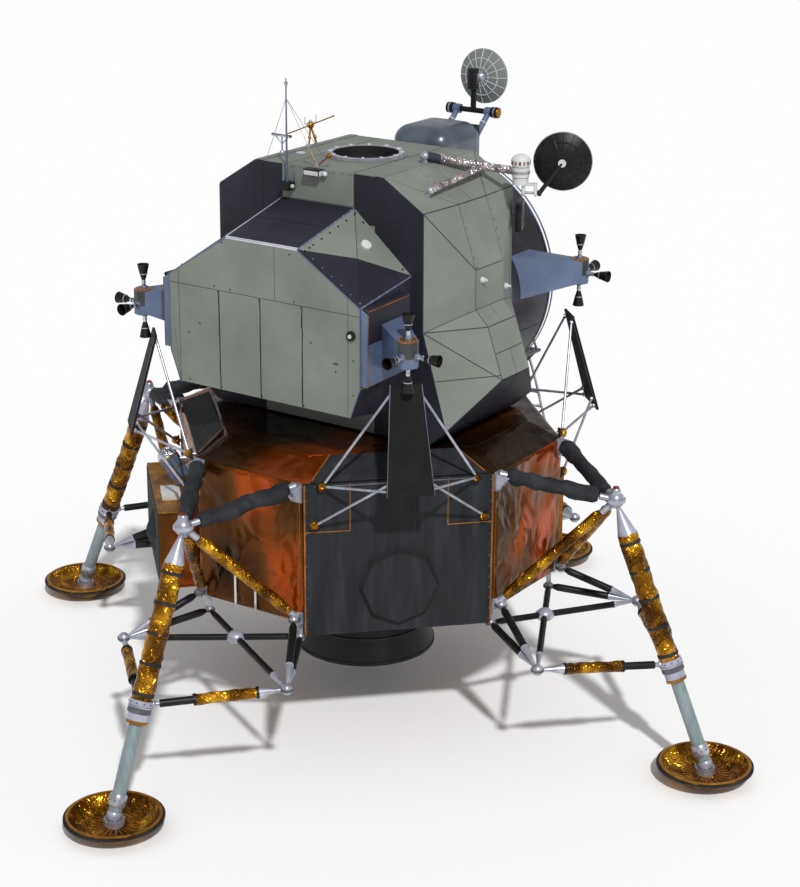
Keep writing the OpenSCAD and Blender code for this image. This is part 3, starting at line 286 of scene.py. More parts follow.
class Shape:
    """A piece under construction: solids of several finishes, in metres."""

    def __init__(self, name: str, place: Matrix | None = None) -> None:
        """Starts an empty piece.

        Args:
            name: The piece's name.
            place: Where everything added to it is put.
        """
        self.name = name
        self.place = place or Matrix.Identity(4)
        self.bm = bmesh.new()
        self.finishes: list[Finish] = []

    def join(self, part: bmesh.types.BMesh, finish: Finish) -> None:
        """Adds a finished solid.

        Args:
            part: The solid, which is used up.
            finish: Its finish.
        """
        if finish not in self.finishes:
            self.finishes.append(finish)
        bmesh.ops.recalc_face_normals(part, faces=part.faces)
        bmesh.ops.transform(part, matrix=self.place, verts=part.verts)
        for face in part.faces:
            face.material_index = self.finishes.index(finish)
        mesh = bpy.data.meshes.new("part")
        part.to_mesh(mesh)
        part.free()
        self.bm.from_mesh(mesh)
        bpy.data.meshes.remove(mesh)

    def rod(self, a: Vector, b: Vector, r: float, finish: Finish, r2: float | None = None,
            sides: int = 14) -> None:
        """Adds a round bar or cone.

        Args:
            a: Its first end.
            b: Its second end.
            r: Its radius at a.
            finish: Its finish.
            r2: Its radius at b, or r where left out.
            sides: Its faces round.
        """
        a, b = Vector(a), Vector(b)
        part = bmesh.new()
        middle = aim(a, b) @ Matrix.Translation((0, 0, (b - a).length / 2))
        bmesh.ops.create_cone(part, cap_ends=True, segments=sides, radius1=r,
                              radius2=r if r2 is None else r2, depth=(b - a).length, matrix=middle)
        self.join(part, finish)

    def ball(self, at: Vector, r: float, finish: Finish, lump: float = 0.0, sides: int = 14,
             squash: Point = (1, 1, 1)) -> None:
        """Adds a ball, or a lump when it is uneven.

        Args:
            at: Its centre.
            r: Its radius.
            finish: Its finish.
            lump: How far its surface strays.
            sides: Its faces round.
            squash: Its size along each axis, as shares of r.
        """
        part = bmesh.new()
        bmesh.ops.create_uvsphere(part, u_segments=sides, v_segments=max(6, sides * 2 // 3), radius=r)
        bmesh.ops.scale(part, vec=squash, verts=part.verts)
        bmesh.ops.translate(part, vec=at, verts=part.verts)
        if lump:
            crumple(part, lump, 9)
        self.join(part, finish)

    def turned(self, a: Vector, b: Vector, outline: Sequence[tuple[float, float]], finish: Finish,
               sides: int = 28, lump: float = 0.0, wave: float = 14.0) -> None:
        """Adds a solid of revolution about the line from a to b.

        Args:
            a: The line's first point.
            b: A further point on the line.
            outline: Distances from a with the radius at each, starting and ending on the line.
            finish: Its finish.
            sides: Its faces round.
            lump: How far its surface strays.
            wave: How many strays there are in a metre.
        """
        part = bmesh.new()
        dots = [part.verts.new((r, 0, d)) for d, r in outline]
        edges = [part.edges.new(pair) for pair in zip(dots, dots[1:])]
        bmesh.ops.spin(part, geom=dots + edges, cent=(0, 0, 0), axis=(0, 0, 1), angle=math.tau,
                       steps=sides, use_merge=True)
        bmesh.ops.remove_doubles(part, verts=part.verts, dist=1e-5)
        bmesh.ops.recalc_face_normals(part, faces=part.faces)
        bmesh.ops.transform(part, matrix=aim(Vector(a), Vector(b)), verts=part.verts)
        if lump:
            crumple(part, lump, wave)
        self.join(part, finish)

    def band(self, a: Vector, b: Vector, start: float, end: float, r: float, finish: Finish,
             sides: int = 28) -> None:
        """Adds a plain round length about the line from a to b.

        Args:
            a: The line's first point.
            b: A further point on the line.
            start: The distance from a at which it starts.
            end: The distance from a at which it ends.
            r: Its radius.
            finish: Its finish.
            sides: Its faces round.
        """
        self.turned(a, b, [(start, 0), (start, r), (end, r), (end, 0)], finish, sides)

    def slab(self, at: Vector, size: Point, finish: Finish, tilt: Matrix | None = None,
             round_by: float = 0.004, segments: int = 2) -> None:
        """Adds a block with rounded edges.

        Args:
            at: Its centre.
            size: Its three sizes.
            finish: Its finish.
            tilt: How it is turned about its centre.
            round_by: The width of its rounded edges.
            segments: The faces across a rounded edge.
        """
        part = bmesh.new()
        bmesh.ops.create_cube(part, size=1.0)
        bmesh.ops.scale(part, vec=size, verts=part.verts)
        bmesh.ops.bevel(part, geom=part.edges[:], affect="EDGES", offset=round_by, segments=segments,
                        profile=0.5, material=-1)
        bmesh.ops.transform(part, matrix=Matrix.Translation(at) @ (tilt or Matrix.Identity(4)),
                            verts=part.verts)
        self.join(part, finish)

    def plate(self, corners: Iterable[Vector], outward: Vector, thick: float, finish: Finish,
              round_by: float = 0.0015) -> None:
        """Adds a flat plate on an outline.

        Args:
            corners: The outline, in order.
            outward: Roughly the way that it gets its thickness.
            thick: Its thickness.
            finish: Its finish.
            round_by: The width of its rounded edges.
        """
        part = bmesh.new()
        face = part.faces.new([part.verts.new(c) for c in corners])
        face.normal_update()
        step = face.normal * (thick if face.normal.dot(outward) > 0 else -thick)
        grown = bmesh.ops.extrude_face_region(part, geom=[face])
        top = [v for v in grown["geom"] if isinstance(v, bmesh.types.BMVert)]
        bmesh.ops.translate(part, vec=step, verts=top)
        close(part)
        if round_by:
            bmesh.ops.bevel(part, geom=part.edges[:], affect="EDGES", offset=round_by, segments=1,
                            profile=0.5, material=-1)
        self.join(part, finish)

    def strip(self, a: Vector, b: Vector, wide: float, thick: float, up: Vector, finish: Finish) -> None:
        """Adds a flat strip from a to b.

        Args:
            a: Its first end.
            b: Its second end.
            wide: Its width.
            thick: Its thickness.
            up: The way its face points.
            finish: Its finish.
        """
        a, b, up = Vector(a), Vector(b), Vector(up)
        ahead = (b - a).normalized()
        side = up.cross(ahead).normalized()
        top = ahead.cross(side)
        tilt = Matrix((ahead, side, top)).transposed().to_4x4()
        self.slab((a + b) / 2 + top * thick / 2, ((b - a).length, wide, thick), finish, tilt,
                  min(thick, wide) * 0.2)

    def bolts(self, a: Vector, b: Vector, count: int, r: float, up: Vector, finish: Finish) -> None:
        """Adds a row of domed bolt heads.

        Args:
            a: The first one's place.
            b: The last one's place.
            count: How many there are.
            r: The radius of one.
            up: The way they point.
            finish: Their finish.
        """
        a, b, up = Vector(a), Vector(b), Vector(up).normalized()
        for i in range(count):
            at = along(a, b, i / max(1, count - 1))
            self.rod(at, at + up * r * 0.7, r, finish, r * 0.6, 8)

    def sheet(self, corners: Sequence[Vector], cells: tuple[int, int], deep: float, fold: float,
              finish: Finish, wave: float = 4.0) -> None:
        """Adds a crumpled foil sheet on four corners, with a flat back.

        Args:
            corners: Its corners in order, anticlockwise seen from outside.
            cells: Its squares along the first and the second side.
            deep: Its least thickness.
            fold: The height of its folds.
            finish: Its finish.
            wave: How many folds there are in a metre.
        """
        part = bmesh.new()
        bmesh.ops.create_grid(part, x_segments=cells[0], y_segments=cells[1], size=0.5)
        p = [Vector(c) for c in corners]
        out = (p[1] - p[0]).cross(p[3] - p[0]).normalized()
        for v in part.verts:
            u, w = v.co.x + 0.5, v.co.y + 0.5
            v.co = along(along(p[0], p[1], u), along(p[3], p[2], u), w)
        rim = {v for v in part.verts if v.is_boundary}
        heights = {v: deep if v in rim else deep + fold * crease(v.co, wave) for v in part.verts}
        for v, height in heights.items():
            v.co += out * height
        edge = [e for e in part.edges if e.is_boundary]
        skirt = bmesh.ops.extrude_edge_only(part, edges=edge)
        for v in skirt["geom"]:
            if isinstance(v, bmesh.types.BMVert):
                v.co -= out * deep
        close(part)
        self.join(part, finish)

    def done(self, body: str = "vehicle", stands_for: Sequence[str] = (),
             smooth: float = 35.0) -> bpy.types.Object:
        """Makes the object and hands it to its body.

        Args:
            body: The body it rides on.
            stands_for: The CAD nodes that it replaces.
            smooth: The angle in degrees past which an edge stays sharp.

        Returns:
            The new object.
        """
        mesh = bpy.data.meshes.new(self.name)
        self.bm.to_mesh(mesh)
        self.bm.free()
        for finish in self.finishes:
            mesh.materials.append(finish.material())
        mesh.shade_smooth()
        mesh.set_sharp_from_angle(angle=math.radians(smooth))
        piece = bpy.data.objects.new(self.name, mesh)
        bpy.context.scene.collection.objects.link(piece)
        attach(piece, body)
        if stands_for:
            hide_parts(*stands_for)
        log.info("%s: %d faces on %s", self.name, len(mesh.polygons), body)
        return piece


def close(part: bmesh.types.BMesh) -> None:
    """Fills whatever openings a solid has left."""
    edge = [e for e in part.edges if e.is_boundary]
    if edge:
        bmesh.ops.holes_fill(part, edges=edge, sides=0)


def crease(at: Vector, wave: float) -> float:
    """Returns the height of sharp-crested foil folds at a place, from 0 to 1.

    Args:
        at: The place.
        wave: How many folds there are in a metre.

    Returns:
        The height.
    """
    bend = Vector((noise.noise(at * 1.7), noise.noise(at * 1.7 + Vector((7, 3, 1))), 0)) * 0.25
    broad = 1 - abs(noise.noise((at + bend) * wave)) * 2
    sharp = 1 - abs(noise.noise((at + bend) * wave * 2.7 + Vector((3, 9, 5)))) * 2
    return max(0.0, 0.65 * broad + 0.35 * sharp)


def crumple(part: bmesh.types.BMesh, height: float, wave: float) -> None:
    """Moves each point of a solid along its normal by uneven amounts.

    Args:
        part: The solid.
        height: The furthest that a point moves.
        wave: How many bumps there are in a metre.
    """
    part.normal_update()
    for v in part.verts:
        v.co += v.normal * height * noise.noise(v.co * wave) * 1.6


def facets(node: str, outside: Callable[[Vector, Vector], bool]) -> list[tuple[list[Vector], Vector]]:
    """Reads the flat outer faces of a CAD node.

    Args:
        node: The node's name.
        outside: Says whether a face with this middle and normal is wanted.

    Returns:
        Each face's corners and its normal.
    """
    bm = bmesh.new()
    bm.from_mesh(frame["nodes"][node].data)
    bmesh.ops.remove_doubles(bm, verts=bm.verts, dist=1e-4)
    bmesh.ops.dissolve_limit(bm, angle_limit=math.radians(1.5), verts=bm.verts, edges=bm.edges)
    found = [([v.co.copy() for v in f.verts], f.normal.copy()) for f in bm.faces
             if f.calc_area() > 0.01 and outside(f.calc_center_median(), f.normal)]
    bm.free()
    return found


@dataclass(frozen=True)
class Cut:
    """A seam that parts a panel: a plane, and where along the panel it holds."""

    at: Point
    across: Point
    below: float = 99.0
    above: float = -99.0


def panels(shape: Shape, corners: Sequence[Vector], normal: Vector, finish: Finish, gap: float = 0.004,
           thick: float = 0.006, cuts: Sequence[Cut] = ()) -> None:
    """Covers a flat face with plates that leave seams between them.

    Args:
        shape: The piece that gets the plates.
        corners: The face's corners in order.
        normal: The way it faces.
        finish: The plates' finish.
        gap: Half the width of a seam.
        thick: The plates' thickness.
        cuts: Where the face is parted.
    """
    part = bmesh.new()
    part.faces.new([part.verts.new(c) for c in corners])
    for cut in cuts:
        geom = [f for f in part.faces if cut.above < f.calc_center_median().z < cut.below]
        geom += list({e for f in geom for e in f.edges}) + list({v for f in geom for v in f.verts})
        bmesh.ops.bisect_plane(part, geom=geom, plane_co=cut.at, plane_no=cut.across)
    bmesh.ops.split_edges(part, edges=[e for e in part.edges if len(e.link_faces) == 2])
    rims = bmesh.ops.inset_individual(part, faces=part.faces[:], thickness=gap, use_even_offset=True)
    bmesh.ops.delete(part, geom=rims["faces"], context="FACES")
    for face in list(part.faces):
        shape.plate([v.co.copy() for v in face.verts], normal, thick, finish)
    part.free()


def fine(outline: Sequence[tuple[float, float]], parts: int) -> list[tuple[float, float]]:
    """Parts each stretch of an outline, so that it can be crumpled.

    Args:
        outline: Distances and radii.
        parts: How many lengths each stretch gets.

    Returns:
        The finer outline.
    """
    dots = [outline[0]]
    for (d0, r0), (d1, r1) in zip(outline, outline[1:]):
        dots += [(d0 + (d1 - d0) * i / parts, r0 + (r1 - r0) * i / parts) for i in range(1, parts + 1)]
    return dots


def hoop(shape: Shape, a: Vector, b: Vector, inner: float, outer: float, finish: Finish,
         sides: int = 48) -> None:
    """Adds a flat ring with an open middle.

    Args:
        shape: The piece that gets it.
        a: The middle of one face.
        b: The middle of the other.
        inner: Its inner radius.
        outer: Its outer radius.
        finish: Its finish.
        sides: Its faces round.
    """
    part = bmesh.new()
    deep = (Vector(b) - Vector(a)).length
    dots = [part.verts.new(c) for c in ((inner, 0, 0), (outer, 0, 0), (outer, 0, deep), (inner, 0, deep))]
    edges = [part.edges.new((dots[i], dots[(i + 1) % 4])) for i in range(4)]
    bmesh.ops.spin(part, geom=dots + edges, cent=(0, 0, 0), axis=(0, 0, 1), angle=math.tau, steps=sides,
                   use_merge=True)
    bmesh.ops.transform(part, matrix=aim(Vector(a), Vector(b)), verts=part.verts)
    shape.join(part, finish)


# ---------- landing gear ----------

@dataclass
class LandingLeg:
    """One leg of the gear, drawn along +X and turned to its face of the stage."""

    name: str
    angle: int
    apex: Point = (3.086, 0, 2.791)
    pad_joint: Point = (4.242, 0, 0.160)
    strut_r: float = 0.105
    piston_r: float = 0.070
    collar_share: float = 0.62
    bracket: Point = (2.087, 0.616, 3.040)
    low_bracket: Point = (2.087, 0.616, 1.624)
    tip: Point = (2.842, 1.055, 1.244)
    corner_low: Point = (2.004, 0.595, 1.378)
    corner_up: Point = (2.1393, 0.616, 1.614)
    foil_shares: tuple[float, float] = (0.128, 0.602)
    sleeve_r: float = 0.056
    upper_r: float = 0.080
    lower_r: float = 0.058
    truss_r: float = 0.040
    cross_r: float = 0.034
    pad_r: float = 0.470
    pad_h: float = 0.178

    def build(self) -> None:
        """Builds the strut, its braces, the truss and the pad."""
        self.top, self.foot = Vector(self.apex), Vector(self.pad_joint)
        self.length = (self.foot - self.top).length
        self.main_strut()
        self.side_struts()
        self.outriggers()
        self.knuckle()
        self.truss()
        self.pad()

    def at(self, share: float) -> float:
        """Returns the distance down the strut of a share of its length."""
        return self.length * share

    def side(self, place: Point, s: int) -> Vector:
        """Returns a place on the port (1) or starboard (-1) side of the leg."""
        return Vector((place[0], place[1] * s, place[2]))

    def main_strut(self) -> None:
        """Builds the foil-wrapped cylinder with its bands, collar and piston."""
        shape = Shape(f"{self.name}_strut", turn(self.angle))
        a, b, r = self.top, self.foot, self.strut_r
        at = self.at
        shape.turned(a, b, [(at(.04), 0), (at(.04), .03), (at(.118), r - .012), (at(.13), r), (at(.13), 0)],
                     LAVENDER)
        start, end = (at(share) for share in self.foil_shares)
        foil = fine([(start, 0), (start, r), (end, r), (end, 0)], 44)
        shape.turned(a, b, foil, GOLD, 40, 0.009, 13)
        for i in range(5):
            d = at(0.155 + i * 0.105)
            shape.turned(a, b, [(d, 0), (d, r + .003), (d + .012, r + .006), (d + .034, r + .003),
                                (d + .034, 0)], BLANKET)
        for d0, d1, grow, finish in ((.600, .620, .014, LAVENDER), (.620, .627, .018, SILVER),
                                     (.627, .645, .014, FRAME_METAL), (.645, .672, 0, LAVENDER),
                                     (.672, .682, .004, GOLD_TRIM)):
            shape.turned(a, b, [(at(d0), 0), (at(d0), r + grow - .004), (at(d0) + .004, r + grow),
                                (at(d1) - .004, r + grow), (at(d1), r + grow - .004), (at(d1), 0)], finish)
        shape.band(a, b, at(.68), at(1), self.piston_r, PISTON)
        shape.turned(a, b, [(at(.925), 0), (at(.925), .078), (at(.932), .088), (at(.962), .088),
                            (at(.97), .078), (at(.97), 0)], SILVER)
        shape.ball(b, .078, LAVENDER, sides=24)
        frame_of_strut = aim(a, b)
        for i in range(10):
            out = Vector((math.cos(i * math.tau / 10), math.sin(i * math.tau / 10), 0))
            for d, reach in ((at(.947), .088), (at(.61), r + .014)):
                start = frame_of_strut @ (out * (reach - .004) + Z * d)
                shape.rod(start, frame_of_strut @ (out * (reach + .008) + Z * d), .009, FRAME_METAL, .006, 8)
        collar = along(a, b, self.collar_share)
        for s in (1, -1):
            to_tip = (self.side(self.tip, s) - collar).normalized()
            shape.rod(collar, collar + to_tip * .185, .022, SILVER)
            shape.ball(collar + to_tip * .125, .034, SILVER)
        shape.done(stands_for=(f"{self.name}_main_strut",))

    def side_struts(self) -> None:
        """Builds the two struts that brace the collar from the truss tips."""
        shape = Shape(f"{self.name}_side_struts", turn(self.angle))
        collar = along(self.top, self.foot, self.collar_share)
        for s in (1, -1):
            tip = self.side(self.tip, s)
            span = (tip - collar).length
            end = span - .0603
            shape.rod(along(collar, tip, .1853 / span), along(collar, tip, .37), .040, TUBE, sides=18)
            foil = fine([(span * .36, 0), (span * .36, self.sleeve_r), (span * .80, self.sleeve_r),
                         (span * .80, 0)], 20)
            shape.turned(collar, tip, foil, GOLD, 28, 0.006, 15)
            for share in (.36, .79):
                d = span * share
                shape.band(collar, tip, d, d + .028, self.sleeve_r + .004, TUBE)
            shape.turned(collar, tip, [(span * .80, 0), (span * .80, self.sleeve_r), (end - .05, .022), (end, .018),
                                       (end, 0)], SILVER)
        shape.done(stands_for=("side_struts",))

    def outriggers(self) -> None:
        """Builds the blanket-wrapped upper tubes and the foil-wrapped lower ones."""
        shape = Shape(f"{self.name}_outriggers", turn(self.angle))
        for s in (1, -1):
            for root, span, r, finish, lump in ((self.bracket, (.06, .86), self.upper_r, BLANKET, .024),
                                                (self.low_bracket, (.07, .88), self.lower_r, GOLD, .007)):
                a = self.side(root, s)
                full = (self.top - a).length
                d0, d1 = full * span[0], full * span[1]
                body = fine([(d0, 0), (d0 + .01, r * .75), (d0 + .06, r), (d1 - .06, r), (d1 - .01, r * .7),
                             (d1, 0)], 14)
                shape.turned(a, self.top, body, finish, 24, lump, 8)
        shape.done(stands_for=("upper_outriggers", "lower_outriggers"))

    def knuckle(self) -> None:
        """Adds the caps and bolts of the knuckle and of the corner brackets."""
        shape = Shape(f"{self.name}_knuckle_caps", turn(self.angle))
        hoop(shape, self.top - Z * .018, self.top + Z * .018, .070, .102, LAVENDER, 28)
        shape.turned(self.top + Z * .06, self.top + Z, [(0, 0), (0, .05), (.045, .05), (.065, .036),
                                                        (.065, 0)], SILVER)
        shape.turned(self.top + Z * .12, self.top + Z, [(0, 0), (0, .034), (.02, .03), (.03, 0)], RED)
        for s in (1, -1):
            for root, low, high in ((self.bracket, -.17, .0), (self.low_bracket, -.04, .04)):
                at = self.side(root, s)
                for y in (-.042, .042):
                    shape.bolts(at + Vector((0, y, low)), at + Vector((0, y, high)), 4, .010, (1, 0, 0),
                                FRAME_METAL)
            root = self.side(self.bracket, s)
            for y in (-.055, .055):
                shape.plate([root + Vector((0, y, -.16)), root + Vector((.15, y, .0)),
                             root + Vector((0, y, .02))], Vector((0, y, 0)), .008, LAVENDER)
        shape.done()

    def truss(self) -> None:
        """Builds the tubes that hold the side struts' tips off the stage."""
        shape = Shape(f"{self.name}_truss", turn(self.angle))
        share = self.corner_low[1] / (self.corner_low[1] + self.tip[1])
        hub = along(self.side(self.corner_low, 1), self.side(self.tip, -1), share)
        for s in (1, -1):
            tip, up, low = (self.side(p, s) for p in (self.tip, self.corner_up, self.corner_low))
            for end, r in ((up, self.truss_r), (low, self.truss_r), (hub, self.cross_r)):
                span = (end - tip).length
                shape.turned(tip, end, [(.05, 0), (.05, .012), (.24, r * .8), (.30, r), (.30, 0)], SILVER, 20)
                shape.turned(tip, end, [(.30, 0), (.30, r), (span - .10, r), (span - .04, .022),
                                        (span - .04, 0)], TUBE, 20)
                shape.band(tip, end, .295, .315, r + .004, LAVENDER, 20)
            span = (low - hub).length
            shape.turned(hub, low, [(.08, 0), (.08, self.cross_r), (span - .14, self.cross_r),
                                    (span - .04, .020), (span - .04, 0)], TUBE, 20)
            for knot, r in ((tip, .060), (up, .052), (low, .052)):
                shape.ball(knot, r, SILVER, sides=18)
                hoop(shape, knot - Z * .012, knot + Z * .012, r * .8, r + .006, FRAME_METAL, 20)
            shape.rod(low + Z * .04, Vector((low.x, low.y, 1.5637)), .026, SILVER)
        shape.ball(hub, .092, LAVENDER, sides=20, squash=(1, 1, .8))
        hoop(shape, hub - Z * .02, hub + Z * .02, .07, .098, SILVER, 24)
        shape.done(stands_for=("gear_trusses",))

    def pad(self) -> None:
        """Builds the crinkled dish that the leg stands on."""
        r, h = self.pad_r, self.pad_h
        shape = Shape(f"{self.name}_pad", turn(self.angle))
        a = Vector((self.foot.x, 0, 0))
        under = [(0, 0), (0, r * .5), (h * .4, r * .84), (h * .8, r - .002)]
        bowl = fine([*under, (h * .96, r - .004), (h * .96, r - .02), (h * .55, r * .8), (h * .34, r * .5),
                     (h * .34, 0)], 7)
        shape.turned(a, a + Z, bowl, GOLD, 84, 0.010, 8)
        for z in (.62, .80):
            hoop(shape, a + Z * h * z, a + Z * (h * z + .016), r * .90 + (z - .62) * .22,
                 r * .925 + (z - .62) * .34, BLANKET, 72)
        hoop(shape, a + Z * (h - .012), a + Z * h, r - .028, r, GOLD_TRIM, 72)
        for i in range(24):
            way = turn(i * 15) @ X
            shape.strip(a + way * .13 + Z * (h * .345), a + way * (r * .5) + Z * (h * .355), .012, .004, Z,
                        BRONZE)
        hoop(shape, a + Z * .05, a + Z * .130, .078, .103, SILVER, 36)
        for i in range(12):
            way = turn(i * 30) @ X
            shape.bolts(a + way * .09 + Z * .13, a + way * .09 + Z * .13, 1, .009, Z, FRAME_METAL)
        shape.done(stands_for=(f"{self.name}_footpad",))


# ---------- descent stage ----------

@dataclass
class DescentStage:
    """The foil-wrapped octagon with its blankets, panels and bays."""

    half: float = 2.057
    face_half: float = 0.650
    bottom: float = 1.564
    top: float = 3.060
    panel: float = 0.040
    inset: float = 0.330
    rim_rise: float = 0.173
    bay_x: float = 2.328
    bay_half: float = 0.796
    bay_top: float = 2.409
    pallet_top: float = 2.475
    nozzle_top: float = 2.050
    pallet_out: float = 0.208
    pallet_half: float = 0.450
    cask_foot: Point = (2.000, 0.200, 2.540)
    cask_way: Point = (0.500, 0, 0.866)
    cask_r: float = 0.110

    def build(self) -> None:
        """Builds everything on the stage."""
        self.diagonal = (self.half + self.face_half) / math.sqrt(2)
        self.diagonal_half = (self.half - self.face_half) / math.sqrt(2)
        self.foil_faces()
        self.rim_blanket()
        self.aft_starboard()
        self.forward_port()
        self.bay()
        self.pallet()
        self.cask()
        self.underside()

    def foil_faces(self) -> None:
        """Hangs crumpled foil on the four leg faces and on the bare diagonals."""
        for angle in LEGS:
            shape = Shape(f"leg_face_foil_{angle}", turn(angle))
            x, w = self.half, self.face_half
            shape.sheet([(x, -w, self.bottom), (x, w, self.bottom), (x, w, self.top), (x, -w, self.top)],
                        (52, 58), .004, .034, AMBER, 2.1)
            for s in (-1, 1):
                shape.strip((x + .004, s * (w - .012), self.bottom), (x + .004, s * (w - .012), self.top),
                            .024, .006, (1, 0, 0), BRONZE)
            if angle == 180:
                for y in (-.16, .1):
                    shape.rod((x + .05, y, self.bottom + .02), (x + .05, y, self.bottom + .34), .012, WHITE)
            shape.done()
        for angle, low in ((135, self.bay_top), (315, self.pallet_top)):
            shape = Shape(f"diagonal_foil_{angle}", turn(angle))
            x, w = self.diagonal, self.diagonal_half
            shape.sheet([(x, -w, low), (x, w, low), (x, w, self.top), (x, -w, self.top)], (70, 26), .003,
                        .022, AMBER, 2.4)
            shape.done()

    def rim_blanket(self) -> None:
        """Lays the foil that climbs from the stage's edge to its raised cover."""
        slope = self.inset * math.tan(math.radians(22.5))
        for angle in range(0, 360, 45):
            leg = angle % 90 == 0
            r = self.half if leg else self.diagonal
            w = self.face_half if leg else self.diagonal_half
            rise = self.rim_rise if 90 <= angle <= 270 else 0.002
            shape = Shape(f"rim_foil_{angle}", turn(angle))
            z = self.top + .001
            shape.sheet([(r, -w, z), (r, w, z), (r - self.inset, w - slope, z + rise),
                         (r - self.inset, slope - w, z + rise)], (56, 14), .003, .016, BROWN, 2.6)
            shape.done()

    def trim(self, shape: Shape, x: float, width: float, low: float, high: float) -> None:
        """Frames a diagonal panel with bronze strips and bolts.

        Args:
            shape: The piece that gets them.
            x: The panel's outer face.
            width: Half its width.
            low: Its lower edge.
            high: Its upper edge.
        """
        out = X
        for s in (-1, 1):
            shape.strip((x, s * (width - .01), low), (x, s * (width - .01), high), .016, .005, out, BRONZE)
            shape.bolts((x, s * (width - .03), low + .05), (x, s * (width - .03), high - .05), 14, .008, out,
                        FRAME_METAL)

    def aft_starboard(self) -> None:
        """Dresses the flat charcoal panel, its bulge and the apron above it."""
        x = self.diagonal + self.panel
        out = X
        shape = Shape("aft_starboard_trim", turn(225))
        width = self.diagonal_half - .025
        self.trim(shape, x, width, 1.43, self.top)
        for s in (-1, 1):
            shape.strip((x, s * .5, 2.55), (x, s * .5, self.top - .005), .010, .003, out, BRONZE)
            shape.strip((x, s * .5, 2.55), (x, s * width, 2.555), .010, .003, out, BRONZE)
        shape.strip((x, -.86, 3.035), (x, .84, 3.035), .014, .003, out, FRAME_METAL)
        middle = Vector((x + .069, 0, 1.925))
        shape.turned(middle, middle + out, [(0, 0), (0, .383), (.006, .380), (.040, 0)], CHARCOAL, 8)
        shape.done()
        self.apron("aft_starboard_apron", 225, x)
        self.apron("aft_port_apron", 135, self.diagonal + .01)

    def apron(self, name: str, angle: int, x: float) -> None:
        """Lays a charcoal apron over the rim of a diagonal.

        Args:
            name: The piece's name.
            angle: The diagonal's angle.
            x: Where the diagonal's face is.
        """
        apron = Shape(name, turn(angle))
        z = self.top + .004
        apron.plate([(x - .02, -.90, z), (x - .02, .90, z), (1.62, .66, z + .170), (1.62, -.66, z + .170)],
                    Z, .022, CHARCOAL, .004)
        apron.strip((x - .03, -.88, z + .028), (1.63, -.65, z + .190), .014, .004, (.5, 0, 1), BRONZE)
        apron.strip((x - .03, .88, z + .028), (1.63, .65, z + .190), .014, .004, (.5, 0, 1), BRONZE)
        apron.done()

    def forward_port(self) -> None:
        """Trims the panel on the forward port quarter."""
        shape = Shape("forward_port_trim", turn(45))
        self.trim(shape, self.diagonal + self.panel, self.diagonal_half - .025, self.bottom, self.top)
        shape.done()

    def bay(self) -> None:
        """Dresses the bay that stands out of the aft port quarter."""
        x, w, top = self.bay_x, self.bay_half, self.bay_top
        x0 = self.diagonal
        shape = Shape("equipment_bay_skin", turn(135))
        shape.plate([(x0 + .005, -w, top), (x, -w, top), (x, w, top), (x0 + .005, w, top)], Z, .006,
                    GOLD_TRIM)
        for s in (-1, 1):
            y = s * w
            ring = [(x0, y, self.bottom), (x, y, self.bottom), (x, y, top), (x0, y, top)]
            shape.sheet(ring if s < 0 else ring[::-1], (16, 30), .002, .014, AMBER, 4)
        shape.plate([(x, -w + .02, self.bottom + .02), (x, w - .02, self.bottom + .02),
                     (x, w - .02, top - .02), (x, -w + .02, top - .02)], X, .006, CHARCOAL)
        shape.turned((x + .004, .2, 2.0), (x + 1, .2, 2.0), [(0, 0), (0, .26), (.085, .05), (.085, 0)],
                     CHARCOAL, 4)
        shape.slab((x - .17, .32, top + .05), (.20, .26, .09), WHITE, round_by=.012)
        shape.bolts((x, -w + .05, top - .05), (x, w - .05, top - .05), 12, .009, (1, 0, 0), SILVER)
        shape.bolts((x, -w + .05, self.bottom + .05), (x, w - .05, self.bottom + .05), 12, .009, (1, 0, 0),
                    SILVER)
        shape.done()

    def pallet(self) -> None:
        """Quilts the fold-down pallet's outer face, which swings with it."""
        low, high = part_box("tool_pallet")
        base, w, z0, z1 = self.diagonal + self.pallet_out, self.pallet_half, low.z, high.z
        shape = Shape("pallet_quilt", turn(315))
        for row in range(3):
            for col in range(3):
                y0, y1 = -w + col * .3 + .004, -w + (col + 1) * .3 - .004
                a, b = z0 + .04 + row * (z1 - z0 - .06) / 3, z0 + .034 + (row + 1) * (z1 - z0 - .06) / 3
                shape.sheet([(base, y0, a), (base, y1, a), (base, y1, b), (base, y0, b)], (10, 10), .003,
                            .012, GOLD, 6)
        shape.done("tool_pallet")

    def cask(self) -> None:
        """Builds the leaning fuel cask with its domes, bands and brackets."""
        shape = Shape("cask_body", turn(135))
        foot, way, r = Vector(self.cask_foot), Vector(self.cask_way), self.cask_r
        shape.turned(foot, foot + way, [(0, 0), (0, .07), (.03, r - .004), (.33, r - .004), (.35, r),
                                        (.35, 0)], BLUE_GREY, 32)
        dome = fine([(.34, 0), (.34, r - .002), (.37, r - .006), (.40, .085), (.425, .045), (.43, 0)], 5)
        shape.turned(foot, foot + way, dome, CRINKLE, 32, .003, 30)
        for d in (.06, .20, .33):
            shape.band(foot, foot + way, d, d + .016, r, GOLD_TRIM, 32)
        for i in range(12):
            out = turn(i * 30) @ X
            side = aim(foot, foot + way).to_3x3() @ out
            shape.rod(foot + way * .08 + side * (r - .004), foot + way * .32 + side * (r - .004), .006,
                      FRAME_METAL, sides=6)
        for share in (.25, .7):
            at = foot + way * .43 * share
            shape.rod((self.diagonal + .0003, at.y, at.z), (at.x, at.y, at.z), .024, SILVER)
            shape.slab((self.diagonal + .012, at.y, at.z), (.02, .13, .09), SILVER)
        shape.done(stands_for=("fuel_cask",))

